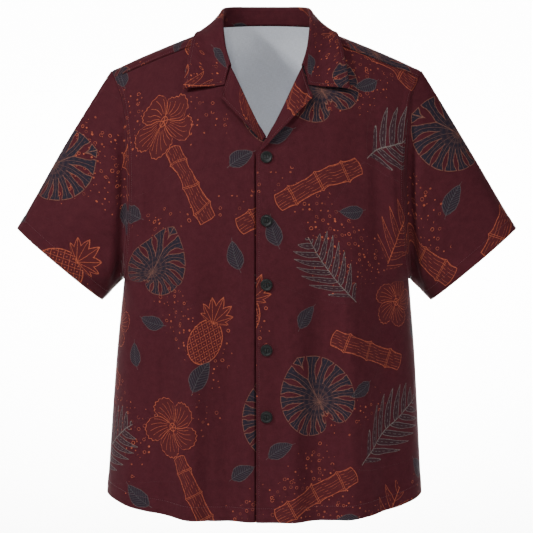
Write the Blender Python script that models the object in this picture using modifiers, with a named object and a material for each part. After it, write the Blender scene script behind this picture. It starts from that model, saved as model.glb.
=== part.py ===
"""Short-sleeved shirt with a camp collar, filled out as if worn, with nothing in it.

Lengths are in millimetres and become metres where a point is placed (MM).
+Z is up, the front faces -Y, and the wearer's right side lies at -X.
The origin is the middle of the neck hole, level with the neck points of the shoulders.
"""
import math

import bmesh
import bpy
from mathutils import Matrix, Vector

MM = 0.001

# Cloth
CLOTH = 1.2                 # wall of one panel with its turnings
COLLAR_CLOTH = 1.6          # two layers of cloth with the stiffening between them
SEAM_GAP = 0.45             # space between two pieces at a seam
LAY_GAP = 0.7               # space between a panel and what lies on it

# Body
HEM_Z = -741.0              # hem at the centre front
HEM_SIDE_RISE = 24.0        # the hem is cut this much higher at the side seams
HEM_ROUND = 3.0             # and rises towards them with this power of the width
HEM_SWAY = -3.4             # the hem hangs this far towards the wearer's right
ARMPIT_Z = -387.0
WIDTHS = [  # z, half width of the body
    (HEM_Z, 244.0),
    (-514.0, 230.0),
    (ARMPIT_Z, 219.0),
]
FRONT_DEPTH = 130.0         # from the side seams' plane to the centre front
BACK_DEPTH = 122.0
ROUNDNESS = 2.35            # exponent of the level sections, 2 is an ellipse
ARM_SPREAD = 0.15           # above the armpit the section widens by up to this share
ARM_SPREAD_HEIGHT = 90.0

# Shoulders
NECK_HALF = 80.0            # half of the neck hole at the shoulders
RIDGE_Y = 4.0               # the shoulders' top line lies this far behind the side seams
NECK_POINT_Z = -3.5
SHOULDER_SLOPE = 0.395
SHOULDER_TIP_X = 236.0
TIP_DROP = 4.5              # the top line rounds down by this much more at the tip
NECK_CROWN = 43.0           # the form's height over the middle of the neck hole
FRONT_CAP = 1.8             # exponents of the shoulders' side section
BACK_CAP = 2.2
FORWARD_SEAM_DROP = 15.5    # the shoulder seam lies this far below the top line

# Closing
UPPER_EDGE_X = 15.3         # the upper front's edge, past the centre
UNDER_EDGE_X = 19.0         # the under front's edge, past the centre
CLOSING_FLAT_X = 12.0       # the closing lies flat up to here
V_BOTTOM_Z = -168.0
EDGE_TOP_Z = -190.0         # here the closing edge turns into the roll line
UNDER_DIP = CLOTH + LAY_GAP
DIP_INNER_X = 22.0          # the under front is fully dipped up to here, and level from
DIP_OUTER_X = 44.0          # here on
DIP_TOP_Z = -122.0
DIP_FULL_Z = -152.0

# Roll line from the bottom of the V to the gorge, then the front's neck seam
GORGE = (53.5, -62.0)
ROLL = [  # z, x
    (V_BOTTOM_Z, 0.0),
    (-126.0, 22.3),
    (-92.0, 38.5),
    (GORGE[1], GORGE[0]),
    (-40.0, 67.5),
    (-18.0, 76.5),
    (NECK_POINT_Z, NECK_HALF),
]

# Lapels and the ends of the collar, seen from the front (x, z)
NOTCH = (62.4, -90.2)
LAPEL_POINT = (69.1, -110.8)
UPPER_LAPEL_FOOT = (-8.5, -187.0)
UNDER_LAPEL_FOOT = (7.0, -171.5)
LAPEL_PUFF = 2.0            # a lapel stands this much higher along its roll line
LAPEL_COLUMNS = 6
LAPEL_ROWS = 10
LAPEL_TOP_DROP = 3.5        # the lapel's top edge lies this far below the collar's end
LAPEL_NOTCH_DROP = 2.1
LAPEL_NOTCH_SHARE = 0.55    # the notch lies this far along the top edge
LAPEL_FOOT_RISE = 5.5       # the facing's inner end lies this much above its foot
LEAF_POINT = (125.0, -98.3)

# Armhole edge of the body, seen from the front
ARMHOLE = [  # z, x
    (ARMPIT_Z, 219.0),
    (-345.0, 212.5),
    (-294.0, 208.0),
    (-245.0, 206.0),
    (-187.0, 207.5),
    (-113.0, 217.7),
    (-69.0, 235.5),
    (-50.0, 240.0),
]

# Soft folds that fall from the chest and the shoulder blades to the hem
FRONT_FOLDS = [  # x at the hem, x at the top, width, height, z of the top
    (-160.0, -150.0, 26.0, -3.5, -330.0),
    (-122.0, -118.0, 24.0, 4.5, -300.0),
    (-54.0, -60.0, 24.0, -4.5, -420.0),
    (44.0, 38.0, 22.0, 3.0, -380.0),
    (80.0, 84.0, 22.0, -4.5, -350.0),
    (134.0, 126.0, 28.0, 5.5, -320.0),
    (188.0, 180.0, 24.0, -3.0, -420.0),
]
BACK_FOLDS = [  # x at the hem, x at the top, width, height, z of the top
    (-170.0, -150.0, 28.0, 5.0, -260.0),
    (-95.0, -90.0, 30.0, -6.0, -330.0),
    (-20.0, -30.0, 34.0, 5.0, -380.0),
    (60.0, 66.0, 28.0, -5.0, -300.0),
    (130.0, 118.0, 30.0, 6.0, -250.0),
]
FOLD_GROWTH = 1.4           # a fold is at full height this many times before the hem
CLOSING_STIFF_X = 20.0      # folds fade towards the closing over this width

# Sleeves, seen from the front: the hem's outer and lower corners (x, z)
SLEEVE_OUTER = (382.5, -309.5)
SLEEVE_LOWER = (253.4, -419.8)
SLEEVE_HALF_DEPTH = 53.0
SLEEVE_Y = -4.0
SLEEVE_HEM_LEAN = 0.1       # the hem rises this much to the front
SLEEVE_ROWS = 6
SLEEVE_PUFF = 1.5
SLEEVE_GAP = 0.65           # space between the armhole's edge and the sleeve's head

# Collar, from the centre back to the gorge: the fold at the top, the outer edge of the
# turned-down leaf, the fold's radius, and how far the stand's foot sinks beside the panels
COLLAR = [  # fold x, y, z, edge x, y, z, radius, sink
    (0.0, 63.0, 29.6, 0.0, 88.0, -38.0, 3.2, 1.0),
    (32.0, 60.0, 29.6, 42.0, 85.0, -38.0, 3.2, 1.0),
    (56.0, 47.0, 29.0, 79.0, 70.0, -36.0, 3.2, 0.7),
    (65.0, 23.0, 25.0, 99.0, 38.0, -25.0, 3.2, 0.0),
    (65.5, -2.0, 13.0, 106.5, 4.0, -11.0, 3.0, 0.0),
    (64.5, -26.0, -5.0, 113.5, -30.0, -32.0, 2.8, 0.4),
    (60.5, -51.5, -33.5, 120.0, -55.0, -65.0, 2.6, 1.4),
    (53.0, -71.5, -59.5, LEAF_POINT[0], -68.0, LEAF_POINT[1], 2.5, 1.6),
]
NECK_SHARE = 4.0 / 7.0      # the shoulder's neck point on the way from the back to the gorge
STAND_END_Z = -64.0         # the stand ends here, below the gorge
STAND_GAP = 2.0             # space between the stand's foot and the panels' edges
COLLAR_LAY = 1.8            # space between the leaf and the panels
LAY_FROM_LEVEL = 1.3        # the leaf lies over the panels from this level up
LAY_STEPS = 60
COLLAR_STEPS = 20           # rows from the centre back to the gorge, on each side
SHOULDER_ROWS = 0.45        # how much closer together the rows are over the shoulder
SHOULDER_PLACE = 0.6        # where they are closest
NEARBY = 0.02               # the fold's direction is taken between places this far off
STAND_STEPS = 2
FOLD_STEPS = 3
LEAF_STEPS = 5
NOTCH_SHARE = 1.0 / 3.0     # the notch lies this far along the end of the leaf
NOTCH_REACH = 0.3           # the leaf's last share of rows turns towards the notch

# Buttons
BUTTON_Z = [-195.5, -288.5, -383.0, -480.5, -580.5]
BUTTON_DIAMETER = 17.8
BUTTON_THICK = 3.0
BUTTON_RIM = 0.8            # the rim stands this much over the middle
BUTTON_RIM_WIDTH = 2.4
BUTTON_ROUND = 0.8          # its outer edge is rounded by about this much
BUTTON_LIFT = 0.4           # its back lies this far over the cloth
BUTTON_HOLE = 1.9
BUTTON_HOLE_SPACING = 3.9
BUTTON_SIDES = 18
HOLE_SIDES = 6
SHARP_ANGLE = 35.0          # edges sharper than this many degrees are shaded sharp

# Grids of the panels
FRONT_COLUMNS = 12
BACK_COLUMNS = 11           # on each side of the centre
HEM_TO_ARMPIT_ROWS = 8
FRONT_UPPER_ROWS = [  # rows, bunching: armpit, closing's top, bottom of the V, gorge, seam
    (7, 1.3),
    (1, 1.0),
    (4, 1.0),
    (6, 1.0),
]
BACK_UPPER_ROWS = 8
NECK_ROWS = 7
OVER_ROWS = 4

# Colours (linear) and finishes
BURGUNDY = (0.058, 0.013, 0.016, 1.0)
CLOTH_ROUGHNESS = 0.85
BUTTON_DARK = (0.012, 0.014, 0.014, 1.0)
BUTTON_ROUGHNESS = 0.32


def lerp(a, b, t):
    return a + (b - a) * t


def smooth(t):
    t = min(max(t, 0.0), 1.0)
    return t * t * (3.0 - 2.0 * t)


def curve_at(rows, key):
    """Value of a two-column table at a key, on a smooth curve through its rows."""
    rows = sorted(rows)
    key = min(max(key, rows[0][0]), rows[-1][0])
    index = max(i for i in range(len(rows) - 1) if rows[i][0] <= key)
    a, b = rows[index], rows[index + 1]
    before = rows[max(index - 1, 0)]
    after = rows[min(index + 2, len(rows) - 1)]
    span = b[0] - a[0]
    slope_a = (b[1] - before[1]) / (b[0] - before[0]) * span
    slope_b = (after[1] - a[1]) / (after[0] - a[0]) * span
    t = (key - a[0]) / span
    return ((2 * t**3 - 3 * t**2 + 1) * a[1] + (t**3 - 2 * t**2 + t) * slope_a
            + (3 * t**2 - 2 * t**3) * b[1] + (t**3 - t**2) * slope_b)


def row_at(rows, place):
    """A table's row at a place from 0 to 1, on a smooth curve through its rows."""
    steps = len(rows) - 1
    index = min(int(place * steps), steps - 1)
    t = place * steps - index
    a, b = rows[index], rows[index + 1]
    before = rows[index - 1] if index else a
    after = rows[index + 2] if index + 2 <= steps else b
    return [0.5 * (2 * q + (r - p) * t + (2 * p - 5 * q + 4 * r - s) * t**2
                   + (3 * q - p - 3 * r + s) * t**3)
            for p, q, r, s in zip(before, a, b, after)]


# ---- The form that the body's panels lie on ----------------------------------------------
# A place on it is (angle, level, face). The angle runs from 0 at the centre to a quarter
# turn at the side, with the side's sign. The level is 0 at the hem, 1 at the armpit and 2 on
# the shoulders' top line, and past 2 it runs down the other face. The face is -1 in front
# and +1 behind.

def ridge_z(x):
    """Height of the shoulders' top line, and of the form's crown inside the neck hole."""
    x = abs(x)
    if x < NECK_HALF:
        return NECK_POINT_Z + NECK_CROWN * (1.0 - (x / NECK_HALF) ** 2)
    along = (x - NECK_HALF) / (SHOULDER_TIP_X - NECK_HALF)
    return NECK_POINT_Z - SHOULDER_SLOPE * (x - NECK_HALF) - TIP_DROP * along**4


def nape_z(x):
    """Height of the neck seam across the back."""
    return NECK_POINT_Z * (x / NECK_HALF) ** 2


def fold_lift(x, z, face):
    """How far the soft folds lift the cloth at a place."""
    total = 0.0
    for x_hem, x_top, width, height, top in (FRONT_FOLDS if face < 0 else BACK_FOLDS):
        down = (top - z) / (top - HEM_Z)
        if down > 0.0:
            middle = lerp(x_top, x_hem, down)
            total += height * smooth(down * FOLD_GROWTH) * math.exp(-((x - middle) / width)**2)
    if face < 0:
        total *= 1.0 - math.exp(-(x / CLOSING_STIFF_X) ** 2)
    return total


def cap_of(face):
    return FRONT_CAP if face < 0 else BACK_CAP


def depth_of(face):
    return FRONT_DEPTH if face < 0 else BACK_DEPTH


def section_half_width(level, face):
    if level <= 1.0:
        return curve_at(WIDTHS, lerp(HEM_Z, ARMPIT_Z, level))
    rise = math.sin((level - 1.0) * math.pi / 2.0) ** (2.0 / cap_of(face))
    spread = 1.0 + ARM_SPREAD * (1.0 - math.exp(ARMPIT_Z * rise / ARM_SPREAD_HEIGHT))
    return curve_at(WIDTHS, ARMPIT_Z) * spread


def form_point(angle, level, face, lift=0.0):
    """The form's point at a place, moved out by a lift."""
    if level > 2.0:
        level, face = 4.0 - level, -face
    side = math.copysign(1.0, angle)
    across = math.sin(abs(angle)) ** (2.0 / ROUNDNESS)
    inward = max(math.cos(angle), 0.0) ** (2.0 / ROUNDNESS)
    x = side * section_half_width(level, face) * across
    depth = depth_of(face) * inward
    calm = smooth(2.0 * math.cos(angle))
    if level <= 1.0:
        x += HEM_SWAY * across**2 * (1.0 - level)
        z = lerp(HEM_Z, ARMPIT_Z, level) + HEM_SIDE_RISE * across**HEM_ROUND * (1.0 - level)
        y = face * (depth + fold_lift(x, z, face) * calm)
        out = Vector((side * across ** (ROUNDNESS - 1.0) / abs(WIDTHS[1][1]),
                      face * inward ** (ROUNDNESS - 1.0) / depth_of(face), 0.0)).normalized()
        return Vector((x, y, z)) + out * lift
    turn = (level - 1.0) * math.pi / 2.0
    flat = max(math.cos(turn), 0.0) ** (2.0 / cap_of(face))
    rise = math.sin(turn) ** (2.0 / cap_of(face))
    z = ARMPIT_Z + (ridge_z(x) - ARMPIT_Z) * rise
    y = RIDGE_Y * (1.0 - flat) + face * (depth + fold_lift(x, z, face) * calm) * flat
    out = Vector((0.0, face * flat ** (cap_of(face) - 1.0) / depth_of(face),
                  rise ** (cap_of(face) - 1.0) / -ARMPIT_Z)).normalized()
    return Vector((x, y, z)) + out * lift


def angle_for(x, level, face):
    """The angle at which the form has a given x, on a level."""
    if level > 2.0:
        level, face = 4.0 - level, -face
    across = min(abs(x) / section_half_width(level, face), 1.0)
    return math.copysign(math.asin(across ** (ROUNDNESS / 2.0)), x)


def level_for(x, z, face):
    """The level at which the form has a given height, at a given x over the armpit."""
    rise = min((z - ARMPIT_Z) / (ridge_z(x) - ARMPIT_Z), 1.0)
    return 1.0 + math.asin(rise ** (cap_of(face) / 2.0)) * 2.0 / math.pi


def side_angle(face):
    """The angle of a panel's side edge, half a seam gap off the side seams' plane."""
    return math.acos((SEAM_GAP / 2.0 / depth_of(face)) ** (ROUNDNESS / 2.0))


def outer_angle(level, face):
    """The angle of a panel's outer edge: the side seam, and above it the armhole."""
    if level <= 1.0:
        return side_angle(face)
    x = ARMHOLE[0][1]
    for _ in range(12):
        angle = angle_for(x, level, face)
        x = curve_at(ARMHOLE, form_point(angle, level, face).z)
    return min(angle_for(x, level, face), side_angle(face))


def forward_seam_level(shift):
    """The front's level along the shoulder seam, moved by a shift in millimetres of cloth."""
    share = 1.0 + (shift - FORWARD_SEAM_DROP) / -ARMPIT_Z
    return 1.0 + math.asin(share ** (FRONT_CAP / 2.0)) * 2.0 / math.pi


def front_levels():
    """Levels of a front's rows, with rows at the top of the closing, the V and the gorge."""
    stops = [1.0, level_for(0.0, EDGE_TOP_Z, -1), level_for(0.0, V_BOTTOM_Z, -1),
             level_for(GORGE[0], GORGE[1], -1), forward_seam_level(-SEAM_GAP / 4.0)]
    levels = [j / HEM_TO_ARMPIT_ROWS for j in range(HEM_TO_ARMPIT_ROWS)]
    for k, (steps, power) in enumerate(FRONT_UPPER_ROWS):
        levels += [lerp(stops[k], stops[k + 1], (j / steps) ** power) for j in range(steps)]
    return levels + [stops[-1]]


def front_inner_x(level, edge_x):
    """x of a front's inner edge: the closing, then the roll line, then the neck seam."""
    path = [(EDGE_TOP_Z, -edge_x)] + ROLL
    x = -edge_x
    for _ in range(40):
        z = form_point(angle_for(x, level, -1), level, -1).z
        x = lerp(x, curve_at(path, z), 0.5)
    return x


def back_rows():
    """Rows of the back as (level, x of the inner edge): centre, neck hole, over the shoulder."""
    rows = [(j / HEM_TO_ARMPIT_ROWS, 0.0) for j in range(HEM_TO_ARMPIT_ROWS)]
    nape = level_for(0.0, nape_z(0.0), 1)
    rows += [(lerp(1.0, nape, (j / BACK_UPPER_ROWS) ** 1.1), 0.0)
             for j in range(BACK_UPPER_ROWS + 1)]
    for j in range(1, NECK_ROWS + 1):
        x = NECK_HALF * math.sin(j / NECK_ROWS * math.pi / 2.0)
        rows.append((level_for(x, nape_z(x), 1), x))
    last = 4.0 - forward_seam_level(SEAM_GAP / 4.0)
    for j in range(1, OVER_ROWS + 1):
        level = lerp(2.0, last, j / OVER_ROWS)
        rows.append((level, front_inner_x(4.0 - level, UNDER_EDGE_X)))
    return rows


# ---- Building helpers --------------------------------------------------------------------

def material(name, colour, roughness):
    made = bpy.data.materials.new(name)
    made.use_nodes = True
    shader = made.node_tree.nodes["Principled BSDF"]
    shader.inputs["Base Color"].default_value = colour
    shader.inputs["Roughness"].default_value = roughness
    shader.inputs["Metallic"].default_value = 0.0
    return made


def cloth_wall(name, columns, rows, place, inside, thickness=CLOTH, slit=None):
    """A wall of cloth: a grid laid on the points of place(i, j), thickened to the inside.

    inside is a point that the outer faces look away from. A slit column of faces is left out
    and its two edges are joined where they meet.
    """
    bm = bmesh.new()
    bmesh.ops.create_grid(bm, x_segments=columns, y_segments=rows, size=1.0)
    for vert in bm.verts:
        i = round((vert.co.x + 1.0) / 2.0 * columns)
        j = round((vert.co.y + 1.0) / 2.0 * rows)
        vert.co = Vector((i, j, 0.0))
    if slit is not None:
        middle = [face for face in bm.faces if int(face.calc_center_median().x) == slit]
        bmesh.ops.delete(bm, geom=middle, context="FACES")
    for vert in bm.verts:
        vert.co = place(round(vert.co.x), round(vert.co.y)) * MM
    bmesh.ops.remove_doubles(bm, verts=bm.verts, dist=0.00001)
    bmesh.ops.recalc_face_normals(bm, faces=bm.faces)
    away = sum(face.normal.dot(face.calc_center_median() - inside * MM) * face.calc_area()
               for face in bm.faces)
    if away < 0.0:
        bmesh.ops.reverse_faces(bm, faces=bm.faces)
    mesh = bpy.data.meshes.new(name)
    bm.to_mesh(mesh)
    bm.free()
    mesh.shade_smooth()
    mesh.materials.append(material(name + "_cloth", BURGUNDY, CLOTH_ROUGHNESS))
    made = bpy.data.objects.new(name, mesh)
    shirt.objects.link(made)
    wall = made.modifiers.new("Wall", "SOLIDIFY")
    wall.thickness = thickness * MM
    wall.offset = -1.0
    wall.use_even_offset = True
    return made


# ---- Fronts ------------------------------------------------------------------------------

def under_dip(x, z):
    """How far the under front lies below the form, at an x that counts from its own side."""
    across = smooth((DIP_OUTER_X - x) / (DIP_OUTER_X - DIP_INNER_X))
    down = smooth((DIP_TOP_Z - z) / (DIP_TOP_Z - DIP_FULL_Z))
    return UNDER_DIP * across * down


def make_front(name, side, edge_x, dips):
    levels = front_levels()
    inner_x = [front_inner_x(level, edge_x) for level in levels]
    inner = [angle_for(x, level, -1) for x, level in zip(inner_x, levels)]
    second = [angle_for(max(CLOSING_FLAT_X, x + CLOSING_FLAT_X), level, -1)
              for x, level in zip(inner_x, levels)]
    outer = [outer_angle(level, -1) for level in levels]

    def place(i, j):
        angle = inner[j]
        if i > 0:
            angle = lerp(second[j], outer[j], (i - 1) / (FRONT_COLUMNS - 1))
        point = form_point(angle, levels[j], -1)
        dip = under_dip(point.x, point.z) if dips else 0.0
        return form_point(side * angle, levels[j], -1, -dip)

    return cloth_wall(name, FRONT_COLUMNS, len(levels) - 1, place, Vector((0.0, 0.0, ARMPIT_Z)))


# ---- Back --------------------------------------------------------------------------------

def make_back():
    rows = back_rows()
    inner = [angle_for(x, level, 1) for level, x in rows]
    outer = [outer_angle(level, 1) for level, _ in rows]

    def place(i, j):
        side = -1.0 if i <= BACK_COLUMNS else 1.0
        share = (BACK_COLUMNS - i if side < 0 else i - BACK_COLUMNS - 1) / BACK_COLUMNS
        return form_point(side * lerp(inner[j], outer[j], share), rows[j][0], 1)

    return cloth_wall("back", 2 * BACK_COLUMNS + 1, len(rows) - 1, place,
                      Vector((0.0, 0.0, ARMPIT_Z)), slit=BACK_COLUMNS)


# ---- Sleeves -----------------------------------------------------------------------------

def armhole_ring():
    """The armhole's points on the +X side, from the armpit up the front and down the back."""
    ring = [Vector((ARMHOLE[0][1], 0.0, ARMPIT_Z))]
    ring += [form_point(outer_angle(level, -1), level, -1)
             for level in front_levels()[HEM_TO_ARMPIT_ROWS + 1:]]
    back = [level for level, _ in back_rows() if level > 1.0][:-1]
    ring += [form_point(outer_angle(level, 1), level, 1) for level in reversed(back)]
    return ring


def shares_along(ring):
    """Each point's share of the way round a closed ring."""
    steps = [(ring[(k + 1) % len(ring)] - ring[k]).length for k in range(len(ring))]
    return [sum(steps[:k]) / sum(steps) for k in range(len(ring))]


def sleeve_hem(share):
    """The hem's point at a share of the way round, from the lower corner, front first."""
    turn = share * 2.0 * math.pi
    middle_x = (SLEEVE_OUTER[0] + SLEEVE_LOWER[0]) / 2.0
    middle_z = (SLEEVE_OUTER[1] + SLEEVE_LOWER[1]) / 2.0
    half_x = (SLEEVE_OUTER[0] - SLEEVE_LOWER[0]) / 2.0
    half_z = (SLEEVE_OUTER[1] - SLEEVE_LOWER[1]) / 2.0
    along = -math.cos(turn)
    forward = SLEEVE_HALF_DEPTH * math.sin(turn)
    return Vector((middle_x + half_x * along, SLEEVE_Y - forward,
                   middle_z + half_z * along + SLEEVE_HEM_LEAN * forward))


def make_sleeve(name, side):
    ring = armhole_ring()
    shares = shares_along(ring)

    def place(i, j):
        share = shares[i % len(ring)]
        topness = max(0.0, -math.cos(share * 2.0 * math.pi))
        # the wall is as thick as the seam is slanted, so the head starts further out
        start = ring[i % len(ring)] + Vector((SLEEVE_GAP + CLOTH * topness, 0.0, 0.0))
        down = j / SLEEVE_ROWS
        puff = SLEEVE_PUFF * math.sin(down * math.pi) * topness
        point = start.lerp(sleeve_hem(share), down) + Vector((puff, 0.0, puff / 2.0))
        return Vector((side * point.x, point.y, point.z))

    middle = (ring[0] + sleeve_hem(0.5)) / 2.0
    inside = Vector((side * middle.x, 0.0, middle.z))
    return cloth_wall(name, len(ring), SLEEVE_ROWS, place, inside)


# ---- Collar ------------------------------------------------------------------------------

def lay_on_body(point, least):
    """The point, moved out where it lies less than a distance over the body's panels."""
    face = -1 if point.y < RIDGE_Y else 1
    nearest = None
    for k in range(LAY_STEPS + 1):
        level = lerp(LAY_FROM_LEVEL, 2.0, k / LAY_STEPS)
        angle = angle_for(point.x, level, face)
        on_form = form_point(angle, level, face)
        gap = (point - on_form).length
        if nearest is None or gap < nearest[0]:
            out = form_point(angle, level, face, 1.0) - on_form
            nearest = (gap, (point - on_form).dot(out), out)
    _, height, out = nearest
    return point + out * max(0.0, least - height)


def front_point(x, z, lift):
    """The front's point at an (x, z) over the armpit, moved out by a lift."""
    level = level_for(x, z, -1)
    return form_point(angle_for(x, level, -1), level, -1, lift)


def neck_seam(place, sink):
    """The neck seam's point on the way from the centre back to the gorge."""
    if place <= NECK_SHARE:
        x = NECK_HALF * math.sin(place / NECK_SHARE * math.pi / 2.0)
        level = level_for(x, nape_z(x), 1)
        return form_point(angle_for(x, level, 1), level, 1, -sink)
    z = lerp(NECK_POINT_Z, STAND_END_Z, (place - NECK_SHARE) / (1.0 - NECK_SHARE))
    return front_point(curve_at(ROLL, z), z, -sink)


def collar_section(place, share):
    """A point of the collar: place runs from back to gorge, share from seam to leaf edge."""
    row = row_at(COLLAR, place)
    fold, edge = Vector(row[0:3]), Vector(row[3:6])
    radius, sink = row[6], row[7]
    seam = neck_seam(place, sink)
    ahead = row_at(COLLAR, min(place + NEARBY, 1.0))
    behind = row_at(COLLAR, max(place - NEARBY, 0.0))
    along = (Vector(ahead[0:3]) - Vector(behind[0:3])).normalized()
    down = (seam - fold).normalized() + (edge - fold).normalized()
    up = -(down - along * down.dot(along)).normalized()
    out = up.cross(along).normalized()
    if share <= 0.0:
        foot = fold - up * radius - out * radius
        seam += (foot - seam).normalized() * STAND_GAP
        return seam.lerp(foot, 1.0 + share)
    if share < 1.0:
        turn = share * math.pi
        return fold - up * radius * (1.0 - math.sin(turn)) - out * radius * math.cos(turn)
    down_leaf = share - 1.0
    top = fold - up * radius + out * radius
    point = top.lerp(edge, down_leaf)
    # the end of the leaf turns at the notch
    bend = front_point(NOTCH[0], NOTCH[1], COLLAR_CLOTH) - top.lerp(edge, NOTCH_SHARE)
    tent = min(down_leaf / NOTCH_SHARE, (1.0 - down_leaf) / (1.0 - NOTCH_SHARE))
    point += bend * tent * smooth((place - 1.0 + NOTCH_REACH) / NOTCH_REACH)
    return lay_on_body(point, (COLLAR_LAY + COLLAR_CLOTH) * smooth(down_leaf * 10.0))


def make_collar():
    shares = [k / STAND_STEPS - 1.0 for k in range(STAND_STEPS)]
    shares += [k / FOLD_STEPS for k in range(FOLD_STEPS)]
    shares += [1.0 + k / LEAF_STEPS for k in range(LEAF_STEPS + 1)]

    def station(even):
        """The even share of the way, with the rows drawn together over the shoulder."""
        turn = 2.0 * math.pi
        start = SHOULDER_PLACE - 0.5
        wave = math.sin(turn * (even - start)) + math.sin(turn * start)
        return even + SHOULDER_ROWS / turn * wave

    def place(i, j):
        along = station(abs(i - COLLAR_STEPS) / COLLAR_STEPS)
        point = collar_section(along, shares[j])
        side = -1.0 if i < COLLAR_STEPS else 1.0
        return Vector((side * point.x, point.y, point.z))

    return cloth_wall("collar", 2 * COLLAR_STEPS, len(shares) - 1, place,
                      Vector((0.0, 0.0, STAND_END_Z)), thickness=COLLAR_CLOTH)


# ---- Lapels ------------------------------------------------------------------------------

def make_lapel(name, side, foot, dips):
    """The facing that turns back over a front, below the gorge."""
    def roll_x(z):
        return curve_at([(EDGE_TOP_Z, -UPPER_EDGE_X)] + ROLL, z)

    gorge = Vector((GORGE[0], GORGE[1] - LAPEL_TOP_DROP))
    notch = Vector((NOTCH[0], NOTCH[1] - LAPEL_NOTCH_DROP))
    point = Vector(LAPEL_POINT)
    foot = Vector(foot)
    inner_foot_z = foot.y + LAPEL_FOOT_RISE

    def place(i, j):
        down, out = j / LAPEL_ROWS, i / LAPEL_COLUMNS
        z = lerp(gorge.y, inner_foot_z, down)
        inner = Vector((roll_x(z), z))
        outer = point.lerp(foot, down)
        # the top edge turns at the notch, and the rows below it follow ever less
        straight = inner.lerp(outer, out)
        tent = min(out / LAPEL_NOTCH_SHARE, (1.0 - out) / (1.0 - LAPEL_NOTCH_SHARE))
        bend = notch - gorge.lerp(point, LAPEL_NOTCH_SHARE)
        flat = straight + bend * tent * (1.0 - smooth(down * 2.0))
        dip = under_dip(flat.x, flat.y) if dips else 0.0
        lift = LAY_GAP + CLOTH + LAPEL_PUFF * (1.0 - out) * smooth(3.0 * (1.0 - down)) - dip
        laid = front_point(flat.x, flat.y, lift)
        return Vector((side * laid.x, laid.y, laid.z))

    return cloth_wall(name, LAPEL_COLUMNS, LAPEL_ROWS, place, Vector((0.0, 0.0, EDGE_TOP_Z)))


# ---- Buttons -----------------------------------------------------------------------------

def button_blank():
    """A disc with a raised rim and four holes, its back on the plane z = 0, facing +Z."""
    radius = BUTTON_DIAMETER / 2.0
    floor = BUTTON_THICK - BUTTON_RIM
    outline = [(0.0, floor), (radius - BUTTON_RIM_WIDTH, floor),
               (radius - BUTTON_RIM_WIDTH * 0.6, BUTTON_THICK),
               (radius - BUTTON_ROUND, BUTTON_THICK), (radius, BUTTON_THICK * 0.55),
               (radius - BUTTON_ROUND, 0.0), (0.0, 0.0)]
    mesh = bpy.data.meshes.new("button")
    mesh.from_pydata([(x * MM, 0.0, z * MM) for x, z in outline],
                     [(k, k + 1) for k in range(len(outline) - 1)], [])
    turned = bpy.data.objects.new("button_blank", mesh)
    cutters.objects.link(turned)
    screw = turned.modifiers.new("Turn", "SCREW")
    screw.steps = BUTTON_SIDES
    screw.render_steps = BUTTON_SIDES
    screw.use_merge_vertices = True
    screw.merge_threshold = 0.00001
    holes = []
    for k in range(4):
        turn = math.pi / 4.0 + k * math.pi / 2.0
        bpy.ops.mesh.primitive_cylinder_add(
            vertices=HOLE_SIDES, radius=BUTTON_HOLE / 2.0 * MM, depth=BUTTON_THICK * 3.0 * MM,
            location=(math.cos(turn) * BUTTON_HOLE_SPACING / math.sqrt(2.0) * MM,
                      math.sin(turn) * BUTTON_HOLE_SPACING / math.sqrt(2.0) * MM, 0.0))
        hole = bpy.context.object
        hole.name = f"button_hole_{k + 1}"
        for collection in hole.users_collection:
            collection.objects.unlink(hole)
        cutters.objects.link(hole)
        hole.hide_render = True
        hole.display_type = "WIRE"
        holes.append(hole)
        cut = turned.modifiers.new(f"Hole {k + 1}", "BOOLEAN")
        cut.operation = "DIFFERENCE"
        cut.object = hole
    bpy.context.view_layer.update()
    evaluated = turned.evaluated_get(bpy.context.evaluated_depsgraph_get())
    made = bpy.data.meshes.new_from_object(evaluated)
    bpy.data.objects.remove(turned)
    made.shade_smooth()
    made.set_sharp_from_angle(angle=math.radians(SHARP_ANGLE))
    return made


def make_buttons():
    blank = button_blank()
    blank.materials.clear()
    for k, z in enumerate(BUTTON_Z):
        mesh = blank.copy()
        mesh.materials.append(material(f"button_{k + 1}_horn", BUTTON_DARK, BUTTON_ROUGHNESS))
        made = bpy.data.objects.new(f"button_{k + 1}", mesh)
        shirt.objects.link(made)
        upper, lower = body_front(z + BUTTON_HOLE_SPACING), body_front(z - BUTTON_HOLE_SPACING)
        lean = math.atan2(upper.y - lower.y, upper.z - lower.z)
        seat = body_front(z) + Vector((0.0, -BUTTON_LIFT, 0.0))
        made.matrix_world = (Matrix.Translation(seat * MM)
                             @ Matrix.Rotation(math.pi / 2.0 - lean, 4, "X"))


def body_front(z):
    """The upper front's outer face on the centre line, at a height."""
    if z > ARMPIT_Z:
        return front_point(0.0, z, 0.0)
    return form_point(0.0, (z - HEM_Z) / (ARMPIT_Z - HEM_Z), -1)


for old in list(bpy.data.objects):
    bpy.data.objects.remove(old)
shirt = bpy.data.collections.new("camp_collar_shirt")
cutters = bpy.data.collections.new("cutters")
bpy.context.scene.collection.children.link(shirt)
bpy.context.scene.collection.children.link(cutters)

make_front("front_right", -1.0, UNDER_EDGE_X, True)
make_front("front_left", 1.0, UPPER_EDGE_X, False)
make_back()
make_sleeve("sleeve_right", -1.0)
make_sleeve("sleeve_left", 1.0)
make_collar()
make_lapel("lapel_right", -1.0, UNDER_LAPEL_FOOT, True)
make_lapel("lapel_left", 1.0, UPPER_LAPEL_FOOT, False)
make_buttons()
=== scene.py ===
"""A short-sleeved printed shirt with a camp collar, filled out with nothing in it.

Lengths are worked out in millimetres and become metres where a point is placed (MM).
+Z is up, the front faces -Y, and the wearer's right side lies at -X.
"""
import math
from functools import partialmethod

import bmesh
import bpy
import numpy as np
from mathutils import Matrix, Vector, noise


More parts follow.
